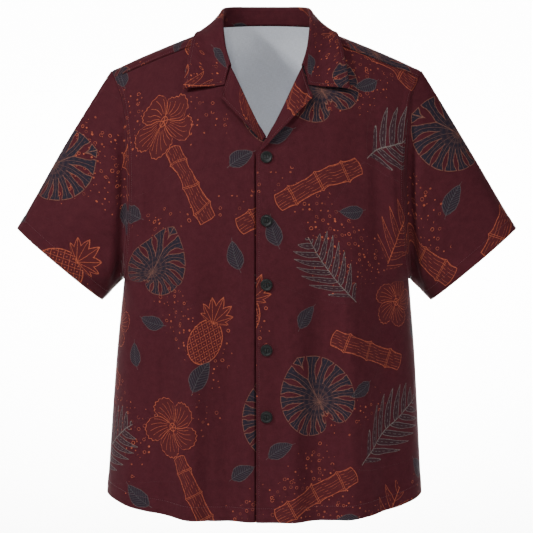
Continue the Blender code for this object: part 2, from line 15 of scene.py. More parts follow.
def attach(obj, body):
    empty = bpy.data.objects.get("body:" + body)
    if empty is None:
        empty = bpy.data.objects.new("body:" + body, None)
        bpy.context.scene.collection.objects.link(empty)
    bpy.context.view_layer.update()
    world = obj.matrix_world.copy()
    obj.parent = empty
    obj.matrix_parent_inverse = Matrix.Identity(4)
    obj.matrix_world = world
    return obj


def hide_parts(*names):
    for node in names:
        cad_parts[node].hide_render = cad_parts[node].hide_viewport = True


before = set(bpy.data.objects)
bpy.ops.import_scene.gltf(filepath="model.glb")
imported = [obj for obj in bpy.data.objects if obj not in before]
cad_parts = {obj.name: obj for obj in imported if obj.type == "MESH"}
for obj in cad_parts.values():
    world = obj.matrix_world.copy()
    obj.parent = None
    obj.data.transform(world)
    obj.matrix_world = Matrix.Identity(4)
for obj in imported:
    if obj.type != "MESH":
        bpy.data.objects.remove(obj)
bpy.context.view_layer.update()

MM = 0.001


# ---- Camera, floor and light -------------------------------------------------------------
# A long lens looks a little down at the chest. The shirt hangs over a pale floor that curves
# up into the wall, under a main light from the upper left, one above in front and a broad one
# from the right. Two more wash the wall.

CAMERA_AT = Vector((0.0, -3.0, -0.064))
CAMERA_AIM = Vector((0.0, 0.0, -0.369))
VIEW_WIDTH = 0.821          # metres across the picture at the aim
SENSOR = 36.0
FLOOR_Z = -1.5
STUDIO_HALF = 9.0
STUDIO_CURVE = 1.6
CURVE_STEPS = 12
WALL_Y = 4.0
WALL_TOP = 6.0
LIGHTS = [  # name, from, aimed at, size in metres, watts, spread in degrees
    ("softbox_left", (-2.6, -1.9, 1.8), (0.0, 0.0, -0.3), 0.6, 146.0, 180.0),
    ("softbox_above", (-0.5, -2.8, 2.2), (0.0, 0.0, -0.3), 0.6, 76.0, 180.0),
    ("softbox_right", (2.7, -2.7, 0.8), (0.0, 0.0, -0.4), 1.9, 66.0, 180.0),
    ("wall_wash_left", (-2.2, 1.6, 2.4), (-0.6, 4.0, -0.4), 1.6, 400.0, 80.0),
    ("wall_wash_right", (2.2, 1.6, 2.4), (0.6, 4.0, -0.4), 1.6, 400.0, 80.0),
]
STUDIO_WHITE = (0.93, 0.93, 0.92, 1.0)
PAPER_ROUGHNESS = 0.9
WORLD_STRENGTH = 0.15


def shown(name, held):
    """A new object in the scene that holds a mesh, a light or a camera."""
    made = bpy.data.objects.new(name, held)
    bpy.context.scene.collection.objects.link(made)
    return made


def aimed(name, held, place, target):
    """A camera or light at a place, turned to a target."""
    made = shown(name, held)
    made.location = place
    made.rotation_euler = (Vector(target) - Vector(place)).to_track_quat("-Z", "Y").to_euler()
    return made


def made_up(bm, name, *finishes):
    """Ends a bmesh as a smooth object with its materials."""
    mesh = bpy.data.meshes.new(name)
    bm.to_mesh(mesh)
    bm.free()
    mesh.shade_smooth()
    for finish in finishes:
        mesh.materials.append(finish)
    return shown(name, mesh)


def new_material(name):
    """A new material, its node tree and the sockets of its shader."""
    made = bpy.data.materials.new(name)
    made.use_nodes = True
    return made, made.node_tree, made.node_tree.nodes["Principled BSDF"].inputs


lens = bpy.data.cameras.new("camera")
lens.sensor_width = SENSOR
lens.lens = SENSOR * (CAMERA_AIM - CAMERA_AT).length / VIEW_WIDTH
bpy.context.scene.camera = aimed("camera", lens, CAMERA_AT, CAMERA_AIM)

for light_name, place, target, size, watts, spread in LIGHTS:
    lamp = bpy.data.lights.new(light_name, "AREA")
    lamp.shape = "DISK"
    lamp.size = size
    lamp.energy = watts
    lamp.spread = math.radians(spread)
    aimed(light_name, lamp, place, target)

world = bpy.data.worlds.new("studio_air")
world.use_nodes = True
world.node_tree.nodes["Background"].inputs["Color"].default_value = (1.0, 1.0, 1.0, 1.0)
world.node_tree.nodes["Background"].inputs["Strength"].default_value = WORLD_STRENGTH
bpy.context.scene.world = world

bm = bmesh.new()
sweep = [bm.verts.new((-STUDIO_HALF, -STUDIO_HALF, FLOOR_Z))]
for k in range(CURVE_STEPS + 1):
    turn = k / CURVE_STEPS * math.pi / 2.0
    sweep.append(bm.verts.new((-STUDIO_HALF, WALL_Y + STUDIO_CURVE * (math.sin(turn) - 1.0),
                               FLOOR_Z + STUDIO_CURVE * (1.0 - math.cos(turn)))))
sweep.append(bm.verts.new((-STUDIO_HALF, WALL_Y, WALL_TOP)))
strip = [bm.edges.new(pair) for pair in zip(sweep, sweep[1:])]
moved = bmesh.ops.extrude_edge_only(bm, edges=strip)["geom"]
bmesh.ops.translate(bm, verts=[g for g in moved if isinstance(g, bmesh.types.BMVert)],
                    vec=(2.0 * STUDIO_HALF, 0.0, 0.0))
bmesh.ops.recalc_face_normals(bm, faces=bm.faces)
paper, _, paper_sockets = new_material("studio_paper")
paper_sockets["Base Color"].default_value = STUDIO_WHITE
paper_sockets["Roughness"].default_value = PAPER_ROUGHNESS
studio_floor = made_up(bm, "studio_floor", paper)


# ---- The printed cloth -------------------------------------------------------------------
# A light plain-weave cotton, burgundy, printed on its outer side only: charcoal leaves and
# palm fronds with grey outlines, copper line drawings of flowers, canes and fruit, and
# copper dots and rings between them. The print lies in the UV map "fabric", in metres.

FABRIC = "fabric"
REPEAT = (0.430, 0.470)     # the print's repeat, across and along the cloth
LINE = 0.0011               # width of an outline
FINE_LINE = 0.0007          # width of veins and grain
SOFT = 0.00035              # an edge fades over this width
THREADS = 1500.0            # threads to a metre, roughly


def srgb(*rgb):
    """A colour from its 0 to 255 values."""
    return tuple(((c / 255.0 + 0.055) / 1.055) ** 2.4 if c > 10 else c / 255.0 / 12.92
                 for c in rgb) + (1.0,)


def feed(sockets, values):
    """Links or sets values on sockets, by name or in order."""
    for key, value in values.items() if isinstance(values, dict) else enumerate(values):
        if isinstance(value, Reading):
            value.tree.links.new(value.socket, sockets[key])
        else:
            sockets[key].default_value = value


def wired(tree, kind, values=(), **settings):
    """The first result of a new node with its settings and values."""
    node = tree.nodes.new("ShaderNode" + kind)
    for name, setting in settings.items():
        setattr(node, name, setting)
    feed(node.inputs, values)
    return Reading(node.outputs[0])


class Reading:
    """What a material works out at each place on a surface: a number, a vector or a colour."""

    def __init__(self, socket):
        self.socket = socket
        self.tree = socket.id_data

    def other(self, name):
        """Another result of the same node."""
        return Reading(self.socket.node.outputs[name])

    def vector(self, operation, *others):
        return wired(self.tree, "VectorMath", (self, *others), operation=operation)

    def calc(self, operation, *others, clamp=False):
        return wired(self.tree, "Math", (self, *others), operation=operation, use_clamp=clamp)

    def __rsub__(self, whole):
        return self.calc("MULTIPLY_ADD", -1.0, whole)

    __add__ = partialmethod(calc, "ADD")
    __sub__ = partialmethod(calc, "SUBTRACT")
    __mul__ = partialmethod(calc, "MULTIPLY")       # of masks: in both
    __or__ = partialmethod(calc, "MAXIMUM")         # of masks: in either
    __truediv__ = partialmethod(calc, "DIVIDE")
    __lt__ = partialmethod(calc, "LESS_THAN")
    __gt__ = partialmethod(calc, "GREATER_THAN")
    __abs__ = partialmethod(calc, "ABSOLUTE")


def profile(value, points):
    """A value from 0 to 1 through a drawn curve."""
    node = value.tree.nodes.new("ShaderNodeFloatCurve")
    node.mapping.extend = "HORIZONTAL"
    line = node.mapping.curves[0]
    while len(line.points) < len(points):
        line.points.new(0.5, 0.5)
    for point, place in zip(line.points, points):
        point.location = place
    node.mapping.update()
    feed(node.inputs, {"Value": value})
    return Reading(node.outputs[0])


def clouds(place, scale, detail=2.0, flat=True, **more):
    """Noise from 0 to 1: flat for cloth, or through the whole of a solid piece."""
    values = {"Vector": place, "Scale": scale, "Detail": detail, **more}
    return wired(place.tree, "TexNoise", values, noise_dimensions="2D" if flat else "3D")


def ranged(value, low, high, to_low, to_high):
    """A value between two ends, carried over to two others."""
    return wired(value.tree, "MapRange", (value, low, high, to_low, to_high))


def mixed(share, a, b):
    """A colour mixed from two by a share."""
    return wired(share.tree, "Mix", {0: share, 6: a, 7: b}, data_type="RGBA").other(2)


def bumped(height, strength, distance):
    """The shading normal over a height."""
    return wired(height.tree, "Bump", {"Strength": strength, "Distance": distance,
                                       "Height": height})


def inside_of(depth):
    """1 where a depth inside an outline is above 0, with a soft edge."""
    return depth.calc("MULTIPLY_ADD", 1.0 / SOFT, 0.5, clamp=True)


def band_up_to(distance, width):
    """1 where a distance that is never negative is under half a width."""
    return distance.calc("MULTIPLY_ADD", -1.0 / SOFT, 0.5 + width / 2.0 / SOFT, clamp=True)


def line_along(distance, width):
    """1 within half a width of where a distance is 0, with soft edges."""
    return band_up_to(abs(distance), width)


def far(x, y):
    return (x * x + y * y).calc("SQRT")


def motif_drawing(name):
    """Starts a node group that draws a motif, and gives the x and y of a place on it."""
    tree = bpy.data.node_groups.new(name, "ShaderNodeTree")
    for title, way, kind in (("Place", "INPUT", "Vector"), ("Fill", "OUTPUT", "Float"),
                             ("Lines", "OUTPUT", "Float")):
        tree.interface.new_socket(title, in_out=way, socket_type="NodeSocket" + kind)
    place = Reading(tree.nodes.new("NodeGroupInput").outputs["Place"])
    x = wired(tree, "SeparateXYZ", (place,))
    return x, x.other("Y")


def finish_drawing(fill, lines):
    """Ends a motif's node group with its filled places and its lines."""
    feed(fill.tree.nodes.new("NodeGroupOutput").inputs, {"Fill": fill, "Lines": lines})
    return fill.tree


def draw_spray(name, length, pitch, reach, breadth, slant, curl, bend, envelope, blade):
    """A stalk with leaflets on both sides that curve forward, each with a middle vein."""
    x, y = motif_drawing(name)
    x = x - y * y * bend
    across = abs(x)
    root = y - across * slant - across * across * curl + (x > 0.0) * (pitch / 2.0)
    span = profile(root / length + 0.5, envelope) * reach + 0.0001
    out = across / span
    half = profile(out, blade) * breadth
    off = root.calc("PINGPONG", pitch / 2.0)
    depth = half - off
    reached = out < 1.0
    fill = inside_of(depth) * reached
    broken = (across * 900.0).calc("SINE") > 0.0
    veins = line_along(depth, LINE * 0.9) | band_up_to(off, FINE_LINE) * fill * broken
    stalk = band_up_to(across, LINE * 1.2) * (abs(y) < length / 2.0)
    return finish_drawing(fill, veins * reached | stalk)


def draw_split_leaf(name, radius):
    """A broad heart-shaped leaf, slit from its edge between curved veins."""
    x, y = motif_drawing(name)
    y = y + radius * 0.3
    r = far(x, y)
    turn = abs(x.calc("ARCTAN2", y))
    edge = profile(turn / math.pi, SPLIT_LEAF_OUTLINE) * (radius * 1.5)
    along = r / edge
    bent = turn - along * SPLIT_LEAF_BEND
    vein = bent.calc("PINGPONG", SPLIT_LEAF_STEP / 2.0)
    opening = profile(along, SPLIT_LEAF_OPENING) * SPLIT_LEAF_SLIT
    slit = (SPLIT_LEAF_STEP / 2.0 - vein - opening) * r + (along < 0.42) * radius
    depth = (edge - r).calc("MINIMUM", slit)
    fill = inside_of(depth)
    strokes = band_up_to(bent.calc("PINGPONG", SPLIT_LEAF_STEP / 10.0) * r, FINE_LINE * 0.4)
    strokes = strokes * ((r * 700.0 + bent * 90.0).calc("SINE") > 0.2)
    veins = band_up_to(vein * r, FINE_LINE * 0.7) | band_up_to(abs(x), LINE * 1.2) | strokes
    return finish_drawing(fill, veins * fill | line_along(depth, LINE))


def draw_plain_leaf(name, length, breadth):
    """A pointed leaf with a middle vein and slanting side veins."""
    x, y = motif_drawing(name)
    across = abs(x - y * y * 4.0)
    depth = profile(y / length + 0.5, PLAIN_LEAF_OUTLINE) * breadth - across
    fill = inside_of(depth) * (abs(y) < length * 0.5)
    side = (y - across * 0.9).calc("PINGPONG", 0.0022)
    veins = (band_up_to(across, FINE_LINE) | band_up_to(side, FINE_LINE)) * fill
    outline = line_along(depth, LINE * 0.9) * (abs(y) < length * 0.62)
    return finish_drawing(fill, veins | outline)


def draw_flower(name, radius, petals):
    """Overlapping petals round a small eye, with veins that fan out along each."""
    x, y = motif_drawing(name)
    r = far(x, y)
    turn = x.calc("ARCTAN2", y) + r * 9.0
    half = math.pi / petals
    petal = turn.calc("WRAP", half, -half)
    edge = profile(petal * (petals / math.tau) + 0.5, PETAL_OUTLINE) * radius
    edge = edge + (turn * 38.0).calc("SINE") * (radius * 0.018)
    depth = edge - r
    fill = inside_of(depth)
    join = band_up_to((half - abs(petal)) * r, LINE)
    fan = band_up_to(petal.calc("PINGPONG", half / 5.5) * r, FINE_LINE * 0.8)
    reach = r / edge
    fan = fan * (reach > 0.25) * (reach < 0.84)
    eye = line_along(r - radius * 0.13, LINE)
    return finish_drawing(fill, (join | fan | eye) * fill | line_along(depth, LINE))


def draw_cane(name, length, breadth, pitch):
    """A length of cane with raised rings and broken lines of grain."""
    x, y = motif_drawing(name)
    ring = y.calc("PINGPONG", pitch / 2.0)
    half = profile(ring / (pitch / 2.0), CANE_SWELL) * (breadth / 2.0)
    end = length / 2.0 - abs(y) - x * x * 18.0
    depth = (half - abs(x)).calc("MINIMUM", end)
    fill = inside_of(depth)
    rings = line_along(ring - 0.0013, FINE_LINE)
    grain = ((y * 170.0).calc("SINE") * 0.0007 + x).calc("PINGPONG", 0.0021)
    breaks = (x * 2600.0 + y * 210.0).calc("SINE") > -0.25
    grain = band_up_to(grain, FINE_LINE * 0.7) * breaks
    return finish_drawing(fill, (rings | grain) * fill | line_along(depth, LINE))


def draw_fruit(name, half_wide, half_high):
    """A pineapple: an oval with a crossed net of lines, and a crown of pointed leaves."""
    x, y = motif_drawing(name)
    body = (1.0 - far(x / half_wide, (y + half_high * 0.45) / half_high)) * half_wide
    one, two = ((y + x * slope).calc("PINGPONG", 0.0065) for slope in (1.3, -1.3))
    net = band_up_to(one, FINE_LINE * 1.4) | band_up_to(two, FINE_LINE * 1.4)
    eyes = band_up_to(0.0115 - (one + two), FINE_LINE)
    crown_y = y - half_high * 0.42
    crown_r = far(x, crown_y)
    crown_turn = x.calc("ARCTAN2", crown_y)
    spike = crown_turn.calc("PINGPONG", 0.21)
    tip = profile(abs(crown_turn) / math.pi, CROWN_OUTLINE) * (half_high * 1.25)
    crown = 1.0 - crown_r / (tip | 0.0005) - spike * 1.6
    crown = crown * (half_high * 0.5)
    depth = body | crown
    fill = inside_of(depth)
    veins = band_up_to(spike * crown_r, FINE_LINE) * inside_of(crown)
    lines = (net | eyes) * inside_of(body) | veins
    return finish_drawing(fill, lines | line_along(depth, LINE))


SPLIT_LEAF_OUTLINE = [(0.0, 0.90), (0.06, 0.84), (0.25, 0.74), (0.5, 0.66), (0.75, 0.60),
                      (0.9, 0.50), (0.97, 0.28), (1.0, 0.08)]
SPLIT_LEAF_BEND = 0.34      # radians that a vein turns towards the tip on its way out
SPLIT_LEAF_STEP = 0.36      # radians between veins
SPLIT_LEAF_SLIT = 0.075     # radians from the middle of a slit to its side at its widest
SPLIT_LEAF_OPENING = [(0.0, 0.0), (0.42, 0.0), (0.65, 0.85), (0.8, 1.0), (0.93, 0.55),
                      (1.0, 0.35)]
PLAIN_LEAF_OUTLINE = [(0.0, 0.0), (0.12, 0.55), (0.4, 1.0), (0.7, 0.72), (1.0, 0.0)]
PETAL_OUTLINE = [(0.0, 0.62), (0.2, 0.88), (0.5, 1.0), (0.78, 0.93), (1.0, 0.62)]
CANE_SWELL = [(0.0, 1.0), (0.1, 0.9), (0.3, 0.82), (1.0, 0.80)]
CROWN_OUTLINE = [(0.0, 1.0), (0.18, 0.86), (0.36, 0.62), (0.5, 0.3), (0.6, 0.0), (1.0, 0.0)]
FROND_ENVELOPE = [(0.0, 0.0), (0.08, 0.0), (0.12, 0.6), (0.3, 1.0), (0.65, 0.9), (0.88, 0.5),
                  (0.97, 0.22), (1.0, 0.0)]
FROND_BLADE = [(0.0, 0.25), (0.3, 1.0), (0.65, 0.75), (1.0, 0.0)]
BRACT_ENVELOPE = [(0.0, 0.0), (0.03, 0.95), (0.5, 1.0), (0.85, 0.7), (0.97, 0.4), (1.0, 0.0)]
BRACT_BLADE = [(0.0, 0.95), (0.35, 0.9), (0.7, 0.5), (1.0, 0.0)]

# Motifs, in drawing order: the drawing, the ink it is printed in, the circle that holds it
MOTIFS = [  # name, drawing, ink, radius
    ("cane", draw_cane("cane", 0.150, 0.034, 0.047), "copper", 0.080),
    ("flower", draw_flower("flower", 0.046, 5), "copper", 0.052),
    ("pineapple", draw_fruit("pineapple", 0.026, 0.036), "copper", 0.066),
    ("bract_spray", draw_spray("bract_spray", 0.125, 0.030, 0.034, 0.0085, 0.9, 6.0, 1.2,
                               BRACT_ENVELOPE, BRACT_BLADE), "copper", 0.076),
    ("palm_frond", draw_spray("palm_frond", 0.146, 0.0185, 0.044, 0.0058, 0.65, 8.0, 1.3,
                              FROND_ENVELOPE, FROND_BLADE), "frond", 0.104),
    ("split_leaf", draw_split_leaf("split_leaf", 0.058), "split", 0.070),
    ("plain_leaf", draw_plain_leaf("plain_leaf", 0.046, 0.0125), "leaf", 0.030),
]
LAYOUT = {  # x, y on the repeat, turn in degrees, size
    "split_leaf": [(0.075, 0.395, 28.0, 1.0), (0.315, 0.165, -35.0, 0.95)],
    "palm_frond": [(0.205, 0.335, -52.0, 1.0), (0.095, 0.105, 38.0, 0.85)],
    "flower": [(0.335, 0.375, 10.0, 1.0), (0.215, 0.055, 40.0, 0.85)],
    "cane": [(0.078, 0.240, -62.0, 0.95), (0.375, 0.275, 25.0, 0.85),
             (0.165, 0.455, 70.0, 0.9)],
    "pineapple": [(0.400, 0.050, -24.0, 0.95)],
    "bract_spray": [(0.205, 0.190, -18.0, 0.9)],
    "plain_leaf": [(0.275, 0.265, 50.0, 1.0), (0.385, 0.455, -30.0, 1.1),
                   (0.010, 0.165, 15.0, 0.95), (0.300, 0.060, 75.0, 0.85),
                   (0.020, 0.310, -60.0, 0.9), (0.127, 0.201, 100.0, 0.8),
                   (0.059, 0.039, -35.0, 0.85), (0.269, 0.010, 10.0, 0.8),
                   (0.151, 0.397, 120.0, 0.8)],
}
INKS = {  # fill, how much of it covers, lines, how strong
    "copper": (srgb(64, 25, 27), 0.85, srgb(166, 84, 55), 0.7),
    "frond": (srgb(42, 30, 35), 0.85, srgb(104, 103, 98), 0.75),
    "split": (srgb(25, 28, 37), 0.95, srgb(122, 80, 62), 0.62),
    "leaf": (srgb(31, 30, 37), 0.92, srgb(82, 81, 80), 0.5),
}
GROUND = srgb(68, 27, 33)
GROUND_DARK = srgb(43, 14, 20)
DOT_PITCH = 0.0095          # dots and rings lie about this far apart in a cluster
DOT_CLUSTERS = 7.5          # clusters to a metre, roughly
DOT_LEAST = 0.0007          # radius of the smallest dot
DOT_MORE = 0.0018           # and how much larger the largest is
RING_FROM = 0.0017          # from this radius on a dot is a ring
SKETCH = 0.0011             # how far the drawn lines wander
SKETCH_SCALE = 85.0


def nearest_place(place, spots, radius):
    """The place on a motif of whichever of its spots on the repeat lies nearest."""
    nearest = None
    half = [side / 2 for side in REPEAT]
    for x, y, degrees, size in spots:
        here = place.vector("SUBTRACT", (x, y, 0.0)).vector(
            "WRAP", (half[0], half[1], 1.0), (-half[0], -half[1], -1.0))
        here = wired(place.tree, "Mapping", {
            "Vector": here, "Rotation": (0.0, 0.0, math.radians(-degrees)),
            "Scale": (1.0 / size, 1.0 / size, 0.0)})
        if nearest is None:
            nearest = here
        else:
            close = here.vector("LENGTH").other("Value") < radius
            nearest = wired(place.tree, "Mix", {0: close, 4: nearest, 5: here},
                            data_type="VECTOR").other(1)
    return nearest


def print_on(tree):
    """The print's colour at a place on the cloth."""
    chart = wired(tree, "UVMap", uv_map=FABRIC)
    wander = clouds(chart, SKETCH_SCALE, 1.0).other("Color")
    place = wander.vector("SUBTRACT", (0.5, 0.5, 0.5)).vector(
        "MULTIPLY_ADD", (SKETCH, SKETCH, 0.0), chart)

    inked = {}
    for name, drawing, ink, radius in MOTIFS:
        here = nearest_place(place, LAYOUT[name], radius)
        fill = wired(tree, "Group", (here,), node_tree=drawing)
        drawn = [fill, fill.other("Lines")]
        if ink in inked:
            drawn = [before | now for before, now in zip(inked[ink], drawn)]
        inked[ink] = drawn

    # rings and dots, in clusters on the bare ground
    press = ranged(clouds(chart, 420.0), 0.3, 0.65, 0.4, 1.0)
    off = wired(tree, "TexVoronoi", {"Vector": place, "Scale": 1.0 / DOT_PITCH},
                voronoi_dimensions="2D")
    red = wired(tree, "SeparateColor", (off.other("Color"),))
    size = red.calc("POWER", 2.0) * DOT_MORE + DOT_LEAST
    depth = size - off * DOT_PITCH
    ring = size > RING_FROM
    drawn = wired(tree, "Mix", {0: ring, 2: inside_of(depth), 3: line_along(depth, FINE_LINE)})
    there = red.other("Green") < clouds(chart, DOT_CLUSTERS, 0.0) * 6.0 - 3.15
    covered = None
    for fill, _ in inked.values():
        covered = fill if covered is None else covered | fill
    faint = red.other("Blue") * 0.65 + 0.25
    dots = drawn * there * (1.0 - covered) * press * faint

    # the ground, a little uneven from the dye and the threads
    colour = mixed(clouds(chart, 90.0, 4.0, Roughness=0.85), GROUND_DARK, GROUND)
    colour = mixed(dots, colour, INKS["copper"][2])
    patchy = press * 0.3 + 0.7
    for ink, (fill_ink, cover, line_ink, strength) in INKS.items():
        fill, lines = inked[ink]
        colour = mixed(fill * patchy * cover, colour, fill_ink)
        colour = mixed(lines * press * strength, colour, line_ink)
    return chart, colour


def plain_grey(tree):
    """The unprinted side, paler where less dye has come through."""
    chart = wired(tree, "UVMap", uv_map=FABRIC)
    return chart, mixed(clouds(chart, 16.0, 3.0), srgb(194, 198, 207), srgb(209, 212, 219))


def woven(name, colour_on, roughness, sheen, sheen_tint):
    """A plain-weave cotton: threads both ways, a soft sheen, and a colour by place."""
    made, tree, shader = new_material(name)
    place, colour = colour_on(tree)
    ways = (wired(tree, "Mapping", {"Vector": place, "Scale": stretch})
            for stretch in ((1.0, 0.12, 1.0), (0.12, 1.0, 1.0)))
    warp, weft = (clouds(way, THREADS, 1.0) for way in ways)
    height = warp + weft
    feed(shader, {
        "Base Color": colour.vector("MULTIPLY", ranged(height, 0.6, 1.4, 0.90, 1.10)),
        "Normal": bumped(height, 0.35, 0.0003), "Roughness": roughness,
        "Specular IOR Level": 0.06, "Sheen Weight": sheen, "Sheen Roughness": 0.45,
        "Sheen Tint": sheen_tint,
    })
    return made


printed_cotton = woven("printed_cotton", print_on, 0.84, 0.05, srgb(214, 150, 160))
wrong_side = woven("wrong_side", plain_grey, 0.88, 0.08, srgb(235, 235, 240))


# ---- Fronts ------------------------------------------------------------------------------
# The two fronts are cut from one layer of the printed cotton. They button down the middle,
# the wearer's left over the right, and fall from the shoulders to a turned and stitched hem.

CLOTH = 0.8                 # wall of a panel as it shows
CAD_CLOTH = 1.2             # and in the frame
SEAM_GAP = 0.45             # between two panels at a seam
LAY_GAP = 0.7               # between two layers that lie on each other
HEM_Z = -741.0
HEM_SIDE_RISE = 24.0        # the hem is this much higher at the side seams
HEM_ROUND = 3.0
HEM_SWAY = -3.4
ARMPIT_Z = -387.0
WIDTHS = [(HEM_Z, 244.0), (-514.0, 230.0), (ARMPIT_Z, 219.0)]     # z, half width of the body
FRONT_DEPTH = 130.0
BACK_DEPTH = 122.0
ROUNDNESS = 2.35            # of the body's section, where 2 is an ellipse
ARM_SPREAD = 0.15           # the chest widens by this share over the armpit
ARM_SPREAD_HEIGHT = 90.0
NECK_HALF = 80.0
RIDGE_Y = 4.0               # the shoulders' top line
NECK_POINT_Z = -3.5
SHOULDER_SLOPE = 0.395
SHOULDER_TIP_X = 236.0
TIP_DROP = 4.5
NECK_CROWN = 43.0
FRONT_CAP = 1.8             # how squarely the chest turns over to the shoulders
BACK_CAP = 2.2
FORWARD_SEAM_DROP = 15.5    # from the top line down to the seam of fronts and back
UPPER_EDGE_X = 15.3         # how far each front runs past the centre
UNDER_EDGE_X = 19.0
V_BOTTOM_Z = -168.0
EDGE_TOP_Z = -190.0
UNDER_DIP = CAD_CLOTH + LAY_GAP     # the under front lies this deep at the closing
EDGE_GROOVE = 3.6           # and drops this much more beside the upper front's edge
GROOVE_X = UPPER_EDGE_X - 0.3
GROOVE_WIDE = 2.2
DIP_INNER_X = 22.0
DIP_OUTER_X = 44.0
DIP_TOP_Z = -122.0
DIP_FULL_Z = -152.0
GORGE = (53.5, -62.0)       # x and z where the collar's leaf meets the lapel
ROLL = [  # z, x
    (V_BOTTOM_Z, 0.0), (-126.0, 22.3), (-92.0, 38.5), (GORGE[1], GORGE[0]),
    (-40.0, 67.5), (-18.0, 76.5), (NECK_POINT_Z, NECK_HALF),
]
ARMHOLE = [  # z, x
    (ARMPIT_Z, 219.0), (-345.0, 212.5), (-294.0, 208.0), (-245.0, 206.0),
    (-187.0, 207.5), (-113.0, 217.7), (-69.0, 235.5), (-50.0, 240.0),
]
# Soft folds that fall from the chest and the shoulder blades to the hem
FRONT_FOLDS = [  # x at the hem, x at the top, width, height, z of the top
    (-158.0, -146.0, 23.0, -7.5, -230.0),
    (-118.0, -112.0, 20.0, 8.0, -190.0),
    (-56.0, -62.0, 21.0, -8.0, -250.0),
    (40.0, 36.0, 18.0, 3.5, -330.0),
    (78.0, 80.0, 20.0, -8.0, -220.0),
    (130.0, 122.0, 22.0, 8.5, -200.0),
    (182.0, 172.0, 18.0, -6.5, -320.0),
    (-210.0, -204.0, 14.0, 3.2, -430.0),
    (-88.0, -86.0, 12.0, -2.4, -470.0),
    (-26.0, -30.0, 10.0, 1.8, -500.0),
    (60.0, 58.0, 10.0, -2.0, -540.0),
    (106.0, 110.0, 11.0, -2.4, -500.0),
    (160.0, 156.0, 11.0, 2.8, -460.0),
    (212.0, 206.0, 12.0, -2.6, -440.0),
]
BACK_FOLDS = [  # x at the hem, x at the top, width, height, z of the top
    (-170.0, -150.0, 26.0, 6.5, -200.0),
    (-95.0, -88.0, 27.0, -7.5, -240.0),
    (-20.0, -30.0, 30.0, 6.0, -280.0),
    (60.0, 66.0, 26.0, -7.0, -220.0),
    (130.0, 118.0, 27.0, 7.5, -190.0),
    (-208.0, -198.0, 13.0, -2.8, -400.0),
    (-132.0, -124.0, 12.0, 2.4, -470.0),
    (-58.0, -56.0, 11.0, -2.2, -500.0),
    (24.0, 20.0, 12.0, 2.2, -460.0),
    (96.0, 98.0, 11.0, -2.4, -430.0),
    (196.0, 182.0, 15.0, 3.0, -380.0),
]
FOLD_GROWTH = 1.9           # folds reach their full height this much before the hem
FOLD_DEPTH = 1.3
CLOSING_STIFF_X = 20.0      # the closing's layers keep the cloth smooth over this width
# Creases pulled between two points (x, z) on the front
FRONT_CREASES = [  # x, z, x, z, width, height
    (-188.0, -140.0, -194.0, -372.0, 10.0, 4.4),
    (-160.0, -120.0, -166.0, -350.0, 12.0, -5.0),
    (188.0, -140.0, 195.0, -376.0, 10.0, 4.4),
    (160.0, -118.0, 168.0, -352.0, 12.0, -5.0),
    (-204.0, -384.0, -132.0, -436.0, 9.0, -2.6),
    (-206.0, -402.0, -150.0, -462.0, 10.0, 2.4),
    (204.0, -384.0, 128.0, -430.0, 9.0, -2.6),
    (206.0, -404.0, 146.0, -458.0, 10.0, 2.4),
    (-112.0, -76.0, -84.0, -230.0, 18.0, 2.6),
    (-140.0, -90.0, -128.0, -250.0, 14.0, -2.6),
    (112.0, -84.0, 92.0, -230.0, 18.0, 2.8),
    (142.0, -96.0, 132.0, -250.0, 14.0, -2.6),
    (-22.0, -288.0, -78.0, -270.0, 8.0, 0.8),
    (20.0, -288.0, 86.0, -300.0, 8.0, 0.8),
    (-22.0, -383.0, -70.0, -392.0, 8.0, -0.8),
    (20.0, -383.0, 92.0, -374.0, 9.0, -0.8),
    (-26.0, -480.0, -96.0, -468.0, 9.0, 0.8),
]
BACK_CREASES = [  # x, z, x, z, width, height
    (-188.0, -150.0, -192.0, -372.0, 11.0, -3.0),
    (-166.0, -110.0, -170.0, -340.0, 14.0, 2.4),
    (188.0, -150.0, 190.0, -370.0, 11.0, -3.0),
    (168.0, -116.0, 172.0, -346.0, 14.0, 2.4),
    (-200.0, -384.0, -120.0, -440.0, 10.0, -1.8),
    (200.0, -386.0, 126.0, -446.0, 10.0, -1.8),
    (-70.0, -40.0, -92.0, -170.0, 18.0, 1.2),
    (74.0, -44.0, 96.0, -180.0, 18.0, 1.2),
]
CREASE_RUN_ON = 0.3         # a crease runs on past its ends by this share of its length
CREASE_FADE = 0.55
SLACK = 0.7                 # the cloth wanders this much between its folds
SLACK_WIDE = 75.0
SLACK_HIGH = 190.0
HEM_TURN = 24.0             # the hem's turning is this wide
HEM_FULLNESS = 0.7          # and stands this much proud of the panel
EDGE_STITCH = 4.5           # rows of stitches lie this far in from a finished edge
STITCH_SINK = 0.35          # and pull the cloth in this far
STITCH_WIDE = 0.9
SEAM_ALLOWANCE = 3.0        # one side of a seam runs on this far under the other
SEAM_UNDER = 1.7
SEAM_DIP = 0.8              # the fronts lie this much lower where the back's seam is sewn down
SIDE_SINK = 0.5             # the panels turn in this much at the side seams
SIDE_SINK_WIDE = 1.6
ARM_TURN = 7.0              # the turnings of the armhole's seam lie this wide on the body
ARM_STITCH = 6.0
FACING = 68.0               # the front's own cloth is turned in this far behind the closing
ROLL_RADIUS = 2.8           # the facing rolls over the panel's edge above the closing
ROLL_CLEAR = 0.6
ROW_TRIES = 72
INSIDE = Vector((0.0, 0.0, ARMPIT_Z))
grids = {}                  # the outer points of each piece of cloth, for its stitching


def lerp(a, b, t):
    return a + (b - a) * t


def bell(off, width):
    """1 at the middle of a soft bump, and almost gone two widths away."""
    return math.exp(-(off / width) ** 2)


def smooth(t):
    t = min(max(t, 0.0), 1.0)
    return t * t * (3.0 - 2.0 * t)


